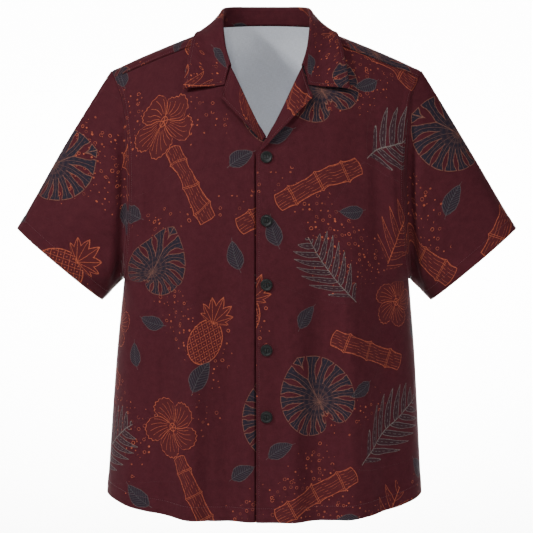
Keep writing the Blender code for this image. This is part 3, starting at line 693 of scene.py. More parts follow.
def curve_at(rows, key):
    """Value of a two-column table at a key, on a smooth curve through its rows."""
    rows = sorted(rows)
    key = min(max(key, rows[0][0]), rows[-1][0])
    index = max(i for i in range(len(rows) - 1) if rows[i][0] <= key)
    a, b = rows[index], rows[index + 1]
    before = rows[max(index - 1, 0)]
    after = rows[min(index + 2, len(rows) - 1)]
    span = b[0] - a[0]
    slope_a = (b[1] - before[1]) / (b[0] - before[0]) * span
    slope_b = (after[1] - a[1]) / (after[0] - a[0]) * span
    t = (key - a[0]) / span
    return ((2 * t**3 - 3 * t**2 + 1) * a[1] + (t**3 - 2 * t**2 + t) * slope_a
            + (3 * t**2 - 2 * t**3) * b[1] + (t**3 - t**2) * slope_b)


def row_at(rows, place):
    """A table's row at a place from 0 to 1, on a smooth curve through its rows."""
    steps = len(rows) - 1
    index = min(int(place * steps), steps - 1)
    t = place * steps - index
    a, b = rows[index], rows[index + 1]
    before = rows[index - 1] if index else a
    after = rows[index + 2] if index + 2 <= steps else b
    return [0.5 * (2 * q + (r - p) * t + (2 * p - 5 * q + 4 * r - s) * t**2
                   + (3 * q - p - 3 * r + s) * t**3)
            for p, q, r, s in zip(before, a, b, after)]


def ridge_z(x):
    """Height of the shoulders' top line, and of the form's crown inside the neck hole."""
    x = abs(x)
    if x < NECK_HALF:
        return NECK_POINT_Z + NECK_CROWN * (1.0 - (x / NECK_HALF) ** 2)
    along = (x - NECK_HALF) / (SHOULDER_TIP_X - NECK_HALF)
    return NECK_POINT_Z - SHOULDER_SLOPE * (x - NECK_HALF) - TIP_DROP * along**4


def nape_z(x):
    return NECK_POINT_Z * (x / NECK_HALF) ** 2


def crease_lift(creases, x, z):
    """How far the creases between pairs of points lift the cloth at a place."""
    total = 0.0
    for x0, z0, x1, z1, width, height in creases:
        run_x, run_z = x1 - x0, z1 - z0
        square = run_x * run_x + run_z * run_z
        along = ((x - x0) * run_x + (z - z0) * run_z) / square
        left = min(along, 1.0 - along) + CREASE_RUN_ON
        off = ((x - x0) * run_z - (z - z0) * run_x) ** 2 / square
        if left > 0.0 and off < 9.0 * width * width:
            fade = smooth((along + CREASE_RUN_ON) / CREASE_FADE) * smooth(
                (1.0 - along + CREASE_RUN_ON) / CREASE_FADE)
            total += height * fade * math.exp(-off / width**2)
    return total


def fold_lift(x, z, face):
    """How far the soft folds lift the cloth at a place."""
    total = 0.0
    for x_hem, x_top, width, height, top in (FRONT_FOLDS if face < 0 else BACK_FOLDS):
        down = (top - z) / (top - HEM_Z)
        if down > 0.0:
            middle = lerp(x_top, x_hem, down)
            total += height * smooth(down * FOLD_GROWTH) * bell(x - middle, width)
    total *= FOLD_DEPTH
    total += crease_lift(FRONT_CREASES if face < 0 else BACK_CREASES, x, z)
    total += SLACK * noise.noise(Vector((x / SLACK_WIDE, z / SLACK_HIGH, 5.0 * face)))
    if face < 0:
        total *= 1.0 - bell(x, CLOSING_STIFF_X)
    return total


def cap_of(face):
    return FRONT_CAP if face < 0 else BACK_CAP


def depth_of(face):
    return FRONT_DEPTH if face < 0 else BACK_DEPTH


def section_half_width(level, face):
    if level <= 1.0:
        return curve_at(WIDTHS, lerp(HEM_Z, ARMPIT_Z, level))
    rise = math.sin((level - 1.0) * math.pi / 2.0) ** (2.0 / cap_of(face))
    spread = 1.0 + ARM_SPREAD * (1.0 - math.exp(ARMPIT_Z * rise / ARM_SPREAD_HEIGHT))
    return curve_at(WIDTHS, ARMPIT_Z) * spread


def form_point(angle, level, face, lift=0.0):
    """The point at a place on the form that the panels are filled out to, moved out by a lift.

    The angle runs from 0 at the centre to a quarter turn at the side, the level from 0 at the
    hem through 1 at the armpit to 2 on the shoulders' top line, and past 2 down the other
    face. The face is -1 in front and +1 behind.
    """
    if level > 2.0:
        level, face = 4.0 - level, -face
    side = math.copysign(1.0, angle)
    across = math.sin(abs(angle)) ** (2.0 / ROUNDNESS)
    inward = max(math.cos(angle), 0.0) ** (2.0 / ROUNDNESS)
    x = side * section_half_width(level, face) * across
    depth = depth_of(face) * inward
    calm = smooth(2.0 * math.cos(angle))
    if level <= 1.0:
        x += HEM_SWAY * across**2 * (1.0 - level)
        z = lerp(HEM_Z, ARMPIT_Z, level) + HEM_SIDE_RISE * across**HEM_ROUND * (1.0 - level)
        y = face * (depth + fold_lift(x, z, face) * calm)
        out = Vector((side * across ** (ROUNDNESS - 1.0) / WIDTHS[1][1],
                      face * inward ** (ROUNDNESS - 1.0) / depth_of(face), 0.0)).normalized()
        return Vector((x, y, z)) + out * lift
    turn = (level - 1.0) * math.pi / 2.0
    flat = max(math.cos(turn), 0.0) ** (2.0 / cap_of(face))
    rise = math.sin(turn) ** (2.0 / cap_of(face))
    z = ARMPIT_Z + (ridge_z(x) - ARMPIT_Z) * rise
    y = RIDGE_Y * (1.0 - flat) + face * (depth + fold_lift(x, z, face) * calm) * flat
    out = Vector((0.0, face * flat ** (cap_of(face) - 1.0) / depth_of(face),
                  rise ** (cap_of(face) - 1.0) / -ARMPIT_Z)).normalized()
    return Vector((x, y, z)) + out * lift


def angle_for(x, level, face):
    if level > 2.0:
        level, face = 4.0 - level, -face
    across = min(abs(x) / section_half_width(level, face), 1.0)
    return math.copysign(math.asin(across ** (ROUNDNESS / 2.0)), x)


def level_for(x, z, face):
    rise = min((z - ARMPIT_Z) / (ridge_z(x) - ARMPIT_Z), 1.0)
    return 1.0 + math.asin(rise ** (cap_of(face) / 2.0)) * 2.0 / math.pi


def side_angle(face):
    return math.acos((SEAM_GAP / 2.0 / depth_of(face)) ** (ROUNDNESS / 2.0))


def outer_angle(level, face):
    """The angle of a panel's outer edge: the side seam, and above it the armhole."""
    if level <= 1.0:
        return side_angle(face)
    x = ARMHOLE[0][1]
    for _ in range(12):
        angle = angle_for(x, level, face)
        x = curve_at(ARMHOLE, form_point(angle, level, face).z)
    return min(angle_for(x, level, face), side_angle(face))


def forward_seam_level(shift):
    share = 1.0 + (shift - FORWARD_SEAM_DROP) / -ARMPIT_Z
    return 1.0 + math.asin(share ** (FRONT_CAP / 2.0)) * 2.0 / math.pi


def front_inner_x(level, edge_x):
    """x of a front's inner edge: the closing, then the roll line, then the neck seam."""
    path = [(EDGE_TOP_Z, -edge_x)] + ROLL
    x = -edge_x
    for _ in range(40):
        z = form_point(angle_for(x, level, -1), level, -1).z
        x = lerp(x, curve_at(path, z), 0.5)
    return x


def roll_inset(z):
    """How far a front's edge lies behind the roll of its facing."""
    return (ROLL_RADIUS + ROLL_CLEAR) * smooth((z - V_BOTTOM_Z - 2.0) / 22.0) * smooth(
        (GORGE[1] - z) / 6.0)


def stops_along(length, near, even):
    """Distances along an edge: close together at both ends, as given, and even between."""
    inner = near[-1]
    middle = [lerp(inner, length - inner, k / even) for k in range(1, even)]
    return list(near) + middle + [length - d for d in reversed(near)]


def angles_on_row(level, face, start, end, near, even):
    """Angles on a level from start to end, spaced by the cloth between them, and its length."""
    tries = [lerp(start, end, k / ROW_TRIES) for k in range(ROW_TRIES + 1)]
    laid = [form_point(angle, level, face) for angle in tries]
    run = [0.0]
    for a, b in zip(laid, laid[1:]):
        run.append(run[-1] + (b - a).length)
    stops = stops_along(run[-1], near, even)
    return list(np.interp(stops, run, tries)), stops, run[-1]


def fabric_chart(points, side, corner):
    """Each point's place on the flat cloth, from the armpit's row, where it hangs plumb."""
    columns, rows = len(points), len(points[0])
    base_row = len(body_levels())
    chart = [[None] * rows for _ in range(columns)]
    for j in range(rows):
        across = side * points[0][j].x
        for i in range(columns):
            if i:
                step = points[i][j] - points[i - 1][j]
                across += math.hypot(step.x, step.y)
            chart[i][j] = [corner[0] + side * across, 0.0]
    for i in range(columns):
        chart[i][base_row][1] = corner[1] + points[i][base_row].z
        for j in range(base_row + 1, rows):
            step = points[i][j] - points[i][j - 1]
            chart[i][j][1] = chart[i][j - 1][1] + math.hypot(step.y, step.z)
        for j in range(base_row - 1, -1, -1):
            step = points[i][j] - points[i][j + 1]
            chart[i][j][1] = chart[i][j + 1][1] - math.hypot(step.y, step.z)
    return chart


def cloth_shell(name, points, chart, inside, wall=CLOTH, turned=None, slit=None):
    """A shell of cloth with its outer side on a grid of points, away from a point inside.

    Its inner side is unprinted, but for the cells that are turned under. A piece that says
    nothing of those is printed on both sides.
    """
    columns, rows = len(points) - 1, len(points[0]) - 1
    bm = bmesh.new()
    bmesh.ops.create_grid(bm, x_segments=columns, y_segments=rows, size=1.0)
    for vert in bm.verts:
        vert.co = Vector((round((vert.co.x + 1.0) / 2.0 * columns),
                          round((vert.co.y + 1.0) / 2.0 * rows), 0.0))
    if slit:
        middle = [face for face in bm.faces if int(face.calc_center_median().x) == slit]
        bmesh.ops.delete(bm, geom=middle, context="FACES")
    drawn = bm.loops.layers.uv.new(FABRIC)
    for face in bm.faces:
        middle = face.calc_center_median()
        if turned and turned(int(middle.x), int(middle.y)):
            face.material_index = 2
        for loop in face.loops:
            u, v = chart[round(loop.vert.co.x)][round(loop.vert.co.y)]
            loop[drawn].uv = (u * MM, v * MM)
    for vert in bm.verts:
        vert.co = points[round(vert.co.x)][round(vert.co.y)] * MM
    bmesh.ops.remove_doubles(bm, verts=bm.verts, dist=0.00001)
    bmesh.ops.recalc_face_normals(bm, faces=bm.faces)
    away = sum(face.normal.dot(face.calc_center_median() - inside * MM) * face.calc_area()
               for face in bm.faces)
    if away < 0.0:
        bmesh.ops.reverse_faces(bm, faces=bm.faces)
    sides = [printed_cotton, wrong_side, printed_cotton] if turned else [printed_cotton]
    made = made_up(bm, name + "_shell", *sides)
    shell = made.modifiers.new("Wall", "SOLIDIFY")
    shell.thickness = wall * MM
    shell.offset = -1.0
    shell.use_even_offset = True
    shell.material_offset = 1 if turned else 0
    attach(made, "root")
    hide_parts(name)
    name + "_cloth"
    grids[name] = points
    return made


def sewn_in(off):
    """How far a row of stitches pulls the cloth in at a distance from the row."""
    return STITCH_SINK * bell(off, STITCH_WIDE)


def hem_band(distance, width):
    """Height of a turned hem: full over its width, gone just past it, with a stitched sink."""
    band = HEM_FULLNESS * (1.0 - smooth((distance - width) / 2.2))
    return band - sewn_in(distance - width + EDGE_STITCH * 0.45)


def armhole_band(from_side, height, rise, fade):
    """The turnings of the armhole's seam fill the body beside it, stitched down in a row."""
    band = height * smooth(from_side / rise) * (1.0 - smooth((from_side - ARM_TURN) / fade))
    return band - sewn_in(from_side - ARM_STITCH)


def under_dip(x, z):
    """How far the under front lies below the form, at an x that counts from its own side."""
    across = smooth((DIP_OUTER_X - x) / (DIP_OUTER_X - DIP_INNER_X))
    down = smooth((DIP_TOP_Z - z) / (DIP_TOP_Z - DIP_FULL_Z))
    groove = EDGE_GROOVE * bell(x - GROOVE_X, GROOVE_WIDE)
    return UNDER_DIP * across * down + groove * smooth((EDGE_TOP_Z + 8.0 - z) / 12.0)


HEM_STOPS = [0.0, 1.0, 2.5, 6.0, 11.0, 16.0, 19.0, 20.5, 21.8, 23.0, 24.5, 26.0, 29.0, 34.0]
EDGE_STOPS = [0.0, 0.8, 1.8, 3.0, 4.2, 5.4, 6.8, 9.0, 12.5]
UNDER_STOPS = EDGE_STOPS + [    # close together again over the groove
    18.0, 24.0, 29.0, 31.4, 32.8, 34.0, 35.0, 36.0, 37.2, 39.0, 42.0]
HEM_ROWS = sum(stop < HEM_TURN for stop in HEM_STOPS)
BODY_ROW = 6.5              # the grid's rows lie this far apart between the hem and the armpit
FRONT_EVEN = 52
FRONT_UPPER = (30, 5, 22, 20)   # rows to the closing's top, the V's bottom, the gorge, the seam


def body_levels():
    """Levels from the hem up to the armpit, close together over the hem's turning."""
    length = ARMPIT_Z - HEM_Z
    count = round((length - HEM_STOPS[-1]) / BODY_ROW)
    stops = HEM_STOPS + [lerp(HEM_STOPS[-1], length, k / count) for k in range(1, count)]
    return [d / length for d in stops]


def front_levels():
    stops = [1.0, level_for(0.0, EDGE_TOP_Z, -1), level_for(0.0, V_BOTTOM_Z, -1),
             level_for(GORGE[0], GORGE[1], -1), forward_seam_level(-SEAM_GAP / 4.0)]
    levels = body_levels()
    for k, steps in enumerate(FRONT_UPPER):
        levels += [lerp(stops[k], stops[k + 1], j / steps) for j in range(steps)]
    return levels + [stops[-1]]


def make_front(name, side, edge_x, dips, corner):
    """One front, from its closing edge and roll line out to the side seam and the armhole."""
    levels = front_levels() + [forward_seam_level(SEAM_ALLOWANCE)]
    rows = []
    for level in levels:
        inner = front_inner_x(level, edge_x)
        inner += roll_inset(form_point(angle_for(inner, level, -1), level, -1).z)
        inner = angle_for(inner, level, -1)
        rows.append(angles_on_row(level, -1, inner, outer_angle(level, -1),
                                  UNDER_STOPS if dips else EDGE_STOPS, FRONT_EVEN))
    columns = len(rows[0][0])
    points = []
    for i in range(columns):
        column = []
        for level, (angles, stops, length) in zip(levels, rows):
            point = form_point(angles[i], level, -1)
            lift = -under_dip(point.x, point.z) if dips else 0.0
            if level < 1.0:
                lift += hem_band(level * (ARMPIT_Z - HEM_Z), HEM_TURN)
            if point.z < EDGE_TOP_Z and not dips:
                lift -= sewn_in(stops[i] - EDGE_STITCH)
            from_side = length - stops[i]
            if level > 1.0:
                lift += armhole_band(from_side, 2.4, 2.5, 6.0)
            else:
                lift -= SIDE_SINK * bell(from_side, SIDE_SINK_WIDE)
            if level == levels[-2]:
                lift -= SEAM_DIP
            if level == levels[-1]:
                lift = -SEAM_UNDER      # the top edge goes in under the back's
            column.append(form_point(side * angles[i], level, -1, lift))
        points.append(column)
    chart = fabric_chart(points, side, corner)
    facing = sum(stop < FACING for stop in rows[0][1])
    return cloth_shell(name, points, chart, INSIDE,
                       turned=lambda i, j: j < HEM_ROWS or i < facing)


front_right = make_front("front_right", -1.0, UNDER_EDGE_X, True, (60.0, 35.0))
front_left = make_front("front_left", 1.0, UPPER_EDGE_X, False, (0.0, 0.0))


# ---- Back --------------------------------------------------------------------------------
# One piece of the printed cotton with no yoke. It comes over the shoulders and meets the
# fronts in a seam a little in front of the top line, and its unprinted side shows at the neck.

BACK_EVEN = 60              # grid columns between the close ones, on each side
BACK_UPPER_ROWS = 44
NECK_ROWS = 22
OVER_ROWS = 10              # rows from the shoulders' top line down to the seam
OVER_BUNCHING = 1.5         # and they lie closer together towards it
OVER_FULLNESS = 1.1         # the seam's turnings fill the back out this much beside the fronts


def back_rows():
    """The back's rows as (level, x of the inner edge): centre, neck hole, over the shoulder."""
    rows = [(level, 0.0) for level in body_levels()]
    nape = level_for(0.0, nape_z(0.0), 1)
    rows += [(lerp(1.0, nape, j / BACK_UPPER_ROWS), 0.0) for j in range(BACK_UPPER_ROWS + 1)]
    for j in range(1, NECK_ROWS + 1):
        x = NECK_HALF * math.sin(j / NECK_ROWS * math.pi / 2.0)
        rows.append((level_for(x, nape_z(x), 1), x))
    last = 4.0 - forward_seam_level(SEAM_GAP / 4.0)
    for j in range(1, OVER_ROWS + 1):
        level = lerp(2.0, last, 1.0 - (1.0 - j / OVER_ROWS) ** OVER_BUNCHING)
        rows.append((level, front_inner_x(4.0 - level, UNDER_EDGE_X)))
    return rows


def make_back(corner):
    rows = back_rows()
    under = math.acos((SEAM_ALLOWANCE / FRONT_DEPTH) ** (ROUNDNESS / 2.0))
    points, chart = [], []
    for side in (-1.0, 1.0):
        half = []
        for level, x in rows:
            angles, stops, length = angles_on_row(level, 1, angle_for(x, level, 1),
                                                  outer_angle(level, 1), EDGE_STOPS, BACK_EVEN)
            row = []
            for angle, stop in zip(angles, stops):
                from_side = length - stop
                lift = 0.0
                if level > 2.0:
                    filled = (level - 2.0) / (rows[-1][0] - 2.0)
                    lift = OVER_FULLNESS * smooth((filled - 0.4) / 0.3) * smooth(
                        (stop - 6.0) / 12.0)
                if level < 1.0:
                    lift += hem_band(level * (ARMPIT_Z - HEM_Z), HEM_TURN)
                    lift -= SIDE_SINK * bell(from_side, SIDE_SINK_WIDE)
                else:
                    lift += armhole_band(from_side, 0.6, 2.0, 3.0)
                row.append(form_point(side * angle, level, 1, lift))
            # the side edge goes in under the front's, and turns in at the armhole
            if level <= 1.0:
                row.append(form_point(side * under, level, -1, -SEAM_UNDER))
            else:
                row.append(form_point(side * angles[-1], level, 1, -SEAM_UNDER))
            half.append(row)
        half = list(zip(*half))
        laid = fabric_chart(half, side, corner)
        # the two halves lie side by side in one grid, from the wearer's right to the left
        points += half[::-1] if side < 0.0 else half
        chart += laid[::-1] if side < 0.0 else laid
    return cloth_shell("back", points, chart, INSIDE, turned=lambda i, j: j < HEM_ROWS,
                       slit=len(half) - 1)


back = make_back((140.0, 120.0))


# ---- Sleeves -----------------------------------------------------------------------------
# Set-in short sleeves in the same cotton, joined to the body in a seam that is turned to the
# body and top-stitched there. They stand off the sides, and their hems are turned and sewn.

SLEEVE_OUTER = Vector((382.5, -309.5))      # x and z of the hem's two corners
SLEEVE_LOWER = Vector((253.4, -419.8))
SLEEVE_HALF_DEPTH = 53.0
SLEEVE_Y = -4.0
SLEEVE_HEM_LEAN = 0.1
SLEEVE_PUFF = 1.5
SLEEVE_GAP = 0.65
SLEEVE_PRINT = (430.0, 352.0)   # the print runs this far round at the head and at the hem
SLEEVE_HEM_TURN = 20.0
SLEEVE_STOPS = [0.0, 1.0, 2.5, 6.0, 10.0, 14.0, 16.0, 17.1, 18.0, 18.9, 20.5, 22.5]
SLEEVE_EVEN = 44            # rows from there to the armhole
SLEEVE_FOLDS = {  # share of the way round at the head and at the hem, width, height, from, to
    "sleeve_right": [
        (0.06, 0.17, 0.030, 3.2, 0.0, 0.95), (0.12, 0.25, 0.034, -3.0, 0.0, 0.9),
        (0.18, 0.33, 0.040, 2.2, 0.05, 1.1), (0.30, 0.40, 0.050, -1.6, 0.2, 1.2),
        (0.50, 0.47, 0.050, 1.2, -0.2, 0.8), (0.62, 0.56, 0.050, -1.6, 0.1, 1.2),
        (0.80, 0.66, 0.045, 2.6, 0.0, 1.1), (0.88, 0.74, 0.036, -3.0, 0.0, 0.95),
        (0.94, 0.83, 0.030, 2.8, 0.0, 0.9),
    ],
    "sleeve_left": [
        (0.05, 0.14, 0.028, 2.8, 0.0, 0.9), (0.11, 0.22, 0.034, -3.4, 0.0, 1.0),
        (0.17, 0.29, 0.036, 2.6, 0.05, 0.95), (0.27, 0.37, 0.048, -1.8, 0.1, 1.2),
        (0.40, 0.43, 0.050, 1.4, 0.3, 1.3), (0.58, 0.55, 0.055, -1.2, 0.1, 1.1),
        (0.76, 0.64, 0.050, 2.2, 0.0, 1.2), (0.86, 0.72, 0.038, -2.8, 0.0, 1.0),
        (0.93, 0.82, 0.030, 3.0, 0.0, 0.9),
    ],
}
HEAD_VALLEY = {  # depth, distance from the seam, width
    "sleeve_right": (19.0, 9.0, 16.0), "sleeve_left": (24.0, 9.0, 15.0)}
HEAD_STOPS = [5.5, 3.6, 2.2, 1.0, 0.0]      # the last rows, from the seam
HEAD_EASE = 0.5             # the cloth is eased in at the head, in small puckers this high
HEAD_PUCKERS = 31.0
PUCKER_REACH = 14.0


def armhole_ring(inset=0.0, lift=0.0):
    """The armhole's points on the +X side, from the armpit up the front and down the back."""
    ring = [Vector((ARMHOLE[0][1] - inset, 0.0, ARMPIT_Z + lift))]
    back = [level for level, _ in back_rows() if level > 1.0][:-1]
    for level, face in ([(level, -1) for level in front_levels() if level > 1.0]
                        + [(level, 1) for level in reversed(back)]):
        edge = form_point(outer_angle(level, face), level, face)
        ring.append(form_point(angle_for(edge.x - inset, level, face), level, face, lift))
    return ring


def shares_along(ring):
    """Each point's share of the way round a closed ring."""
    steps = [(ring[(k + 1) % len(ring)] - ring[k]).length for k in range(len(ring))]
    return [sum(steps[:k]) / sum(steps) for k in range(len(ring))]


def sleeve_hem(share):
    """The hem's point at a share of the way round, from the lower corner, front first."""
    turn = share * math.tau
    x, z = SLEEVE_LOWER.lerp(SLEEVE_OUTER, (1.0 - math.cos(turn)) / 2.0)
    forward = SLEEVE_HALF_DEPTH * math.sin(turn)
    return Vector((x, SLEEVE_Y - forward, z + SLEEVE_HEM_LEAN * forward))


def make_sleeve(name, side, corner):
    ring, under = armhole_ring(), armhole_ring(SEAM_ALLOWANCE, -SEAM_UNDER)
    head_middle = sum(ring, Vector()) / len(ring)
    hem_middle = (sleeve_hem(0.0) + sleeve_hem(0.5)) / 2.0
    depth, middle, valley = HEAD_VALLEY[name]
    points, chart = [], []
    for share, on_ring, below in zip(shares_along(ring) + [1.0], ring + ring[:1],
                                     under + under[:1]):
        topness = max(0.0, -math.cos(share * math.tau))
        up = 1.0 - abs(2.0 * share - 1.0)
        head = on_ring + Vector((SLEEVE_GAP + CAD_CLOTH * topness, 0.0, 0.0))
        hem = sleeve_hem(share)
        length = (head - hem).length
        last = length - HEAD_STOPS[0] - 1.5
        stops = SLEEVE_STOPS + [lerp(SLEEVE_STOPS[-1], last, (k + 1) / SLEEVE_EVEN)
                                for k in range(SLEEVE_EVEN)]
        stops += [length - stop for stop in HEAD_STOPS]
        column, drawn = [], []
        for stop in stops:
            down = 1.0 - stop / length
            from_head = length - stop
            puff = SLEEVE_PUFF * math.sin(down * math.pi) * topness
            point = head.lerp(hem, down) + Vector((puff, 0.0, puff / 2.0))
            out = (point - head_middle.lerp(hem_middle, down)).normalized()
            lift = hem_band(stop, SLEEVE_HEM_TURN)
            for at_head, at_hem, width, height, start, end in SLEEVE_FOLDS[name]:
                fade = smooth((down - start) / 0.3) * smooth((end - down) / 0.35)
                lift += height * fade * bell(share - lerp(at_head, at_hem, down), width)
            lift += SLACK * noise.noise(Vector((share * 7.0, down * 2.0, side * 3.0)))
            lift += (HEAD_EASE * bell(from_head, PUCKER_REACH) * topness
                     * math.sin(share * math.tau * HEAD_PUCKERS))
            lift *= smooth(from_head / 5.0)
            # the cloth drops in beside the seam, in front and behind
            lift -= depth * bell(from_head - middle, valley) * smooth(up / 0.15) * smooth(
                (0.9 - up) / 0.5) * smooth(from_head / 3.5)
            point += out * lift
            column.append(Vector((side * point.x, point.y, point.z)))
            drawn.append((corner[0] + side * (share - 0.5) * lerp(*SLEEVE_PRINT, down),
                          corner[1] + stop))
        column.append(Vector((side * below.x, below.y, below.z)))
        drawn.append((drawn[-1][0], drawn[-1][1] + SEAM_ALLOWANCE))
        points.append(column)
        chart.append(drawn)
    inside = (ring[0] + sleeve_hem(0.5)) / 2.0
    hem_rows = sum(stop < SLEEVE_HEM_TURN for stop in SLEEVE_STOPS)
    return cloth_shell(name, points, chart, Vector((side * inside.x, 0.0, inside.z)),
                       turned=lambda i, j: j < hem_rows)


sleeve_right = make_sleeve("sleeve_right", -1.0, (300.0, 40.0))
sleeve_left = make_sleeve("sleeve_left", 1.0, (90.0, 210.0))


# ---- Collar ------------------------------------------------------------------------------
# A one-piece camp collar of two layers with a thin interlining, printed on both sides. It
# stands up round the neck, rolls over and lies open, and is stitched round near its edge.

COLLAR_CLOTH = 1.5
CAD_COLLAR = 1.6
NOTCH = (62.4, -90.2)
LEAF_POINT = (125.0, -98.3)
COLLAR = [  # fold x, y, z, edge x, y, z, radius, sink
    (0.0, 63.0, 29.6, 0.0, 88.0, -38.0, 3.2, 1.0),
    (32.0, 60.0, 29.6, 42.0, 85.0, -38.0, 3.2, 1.0),
    (56.0, 47.0, 29.0, 79.0, 70.0, -36.0, 3.2, 0.7),
    (65.0, 23.0, 25.0, 99.0, 38.0, -25.0, 3.2, 0.0),
    (65.5, -2.0, 13.0, 106.5, 4.0, -11.0, 3.0, 0.0),
    (64.5, -26.0, -5.0, 113.5, -30.0, -32.0, 2.8, 0.4),
    (60.5, -51.5, -33.5, 120.0, -55.0, -65.0, 2.6, 1.4),
    (53.0, -71.5, -59.5, LEAF_POINT[0], -68.0, LEAF_POINT[1], 2.5, 1.6),
]
NECK_SHARE = 4.0 / 7.0      # of the collar lies on the back's part of the neck seam
STAND_END_Z = -64.0
STAND_GAP = 1.4
COLLAR_LAY = 1.8            # the leaf lies at least this far off the body
COLLAR_STAND = 7.0          # its edge stands this much more off the fronts
LAY_FROM_LEVEL = 1.3
LAY_STEPS = 60
COLLAR_STEPS = 84           # grid columns from the centre back to the gorge, on each side
SHOULDER_ROWS = 0.45        # they are drawn together over the shoulder by this much
SHOULDER_PLACE = 0.6
NEARBY = 0.02
STAND_STEPS = 8
FOLD_STEPS = 12
LEAF_STEPS = 34
NOTCH_SHARE = 1.0 / 3.0     # the end of the leaf turns at this share of the way down
NOTCH_REACH = 0.3
COLLAR_STITCH = 5.0         # from the edge, as on the lapels
COLLAR_PRESS = (1.4, 1.1, 0.45, 1.0)    # its line's dip and width, and the edge's own
COLLAR_CORNER = (55.0, 300.0)
COLLAR_FOLDS = [  # place, share of the leaf, half lengths along and down, turn, height
    (0.10, 0.55, 0.05, 0.5, 0.0, 0.7),
    (0.30, 0.40, 0.06, 0.6, 0.3, -0.8),
    (0.48, 0.55, 0.05, 0.6, -0.2, 0.8),
    (0.66, 0.45, 0.05, 0.5, 0.2, -0.7),
    (0.82, 0.55, 0.06, 0.5, -0.3, 0.7),
]


def lay_on_body(point, least):
    """The point, moved out where it lies less than a distance over the body's panels."""
    face = -1 if point.y < RIDGE_Y else 1
    nearest = None
    for k in range(LAY_STEPS + 1):
        level = lerp(LAY_FROM_LEVEL, 2.0, k / LAY_STEPS)
        angle = angle_for(point.x, level, face)
        on_form = form_point(angle, level, face)
        gap = (point - on_form).length
        if nearest is None or gap < nearest[0]:
            nearest = (gap, angle, level, on_form)
    _, angle, level, on_form = nearest
    out = form_point(angle, level, face, 1.0) - on_form
    return point + out * max(0.0, least - (point - on_form).dot(out))


def panel_point(x, z, lift, face=-1):
    """The front's or back's point at an (x, z) over the armpit, moved out by a lift."""
    level = level_for(x, z, face)
    return form_point(angle_for(x, level, face), level, face, lift)


def neck_seam(place, sink):
    """The neck seam's point on the way from the centre back to the gorge."""
    if place <= NECK_SHARE:
        x = NECK_HALF * math.sin(place / NECK_SHARE * math.pi / 2.0)
        return panel_point(x, nape_z(x), -sink, 1)
    z = lerp(NECK_POINT_Z, STAND_END_Z, (place - NECK_SHARE) / (1.0 - NECK_SHARE))
    return panel_point(curve_at(ROLL, z), z, -sink)


def collar_section(place, share):
    """A point of the collar: place runs from back to gorge, share from seam to leaf edge."""
    row = row_at(COLLAR, place)
    fold, edge = Vector(row[0:3]), Vector(row[3:6])
    radius, sink = row[6], row[7]
    seam = neck_seam(place, sink)
    ahead = row_at(COLLAR, min(place + NEARBY, 1.0))
    behind = row_at(COLLAR, max(place - NEARBY, 0.0))
    along = (Vector(ahead[0:3]) - Vector(behind[0:3])).normalized()
    down = (seam - fold).normalized() + (edge - fold).normalized()
    up = -(down - along * down.dot(along)).normalized()
    out = up.cross(along).normalized()
    if share <= 0.0:
        foot = fold - up * radius - out * radius
        seam += (foot - seam).normalized() * STAND_GAP
        return seam.lerp(foot, 1.0 + share)
    if share < 1.0:
        turn = share * math.pi
        return fold - up * radius * (1.0 - math.sin(turn)) - out * radius * math.cos(turn)
    down_leaf = share - 1.0
    top = fold - up * radius + out * radius
    point = top.lerp(edge, down_leaf)
    # the end of the leaf turns at the notch
    bend = panel_point(*NOTCH, CAD_COLLAR) - top.lerp(edge, NOTCH_SHARE)
    tent = min(down_leaf / NOTCH_SHARE, (1.0 - down_leaf) / (1.0 - NOTCH_SHARE))
    point += bend * tent * smooth((place - 1.0 + NOTCH_REACH) / NOTCH_REACH)
    stand = COLLAR_STAND * smooth((down_leaf - 0.36) / 0.6) * smooth((place - 0.5) / 0.3)
    return lay_on_body(point, (COLLAR_LAY + CAD_COLLAR) * smooth(down_leaf * 10.0) + stand)


def station(even):
    """The even share of the way, with the columns drawn together over the shoulder."""
    start = SHOULDER_PLACE - 0.5
    wave = math.sin(math.tau * (even - start)) + math.sin(math.tau * start)
    return even + SHOULDER_ROWS / math.tau * wave


def out_of_grid(points, inside):
    """The outward directions at a grid's points, as one array of vectors."""
    laid = np.array([[tuple(p) for p in column] for column in points])
    normals = np.cross(np.gradient(laid, axis=0), np.gradient(laid, axis=1))
    normals /= np.maximum(np.linalg.norm(normals, axis=2, keepdims=True), 1e-9)
    if (normals * (laid - np.array(inside))).sum() < 0.0:
        normals = -normals
    return laid, normals


def run_along(laid, axis):
    """How far along a grid's rows or columns each point lies from the first."""
    steps = np.linalg.norm(np.diff(laid, axis=axis), axis=2)
    return np.insert(np.cumsum(steps, axis=axis), 0, 0.0, axis=axis)


def pressed_edge(near, stitch, sink, wide, edge_sink, edge_wide):
    """How far a stitched and pressed edge lies below the cloth, by the distance from it."""
    return (STITCH_SINK * sink * np.exp(-((near - stitch) / wide) ** 2)
            + edge_sink * np.exp(-(near / edge_wide) ** 2))


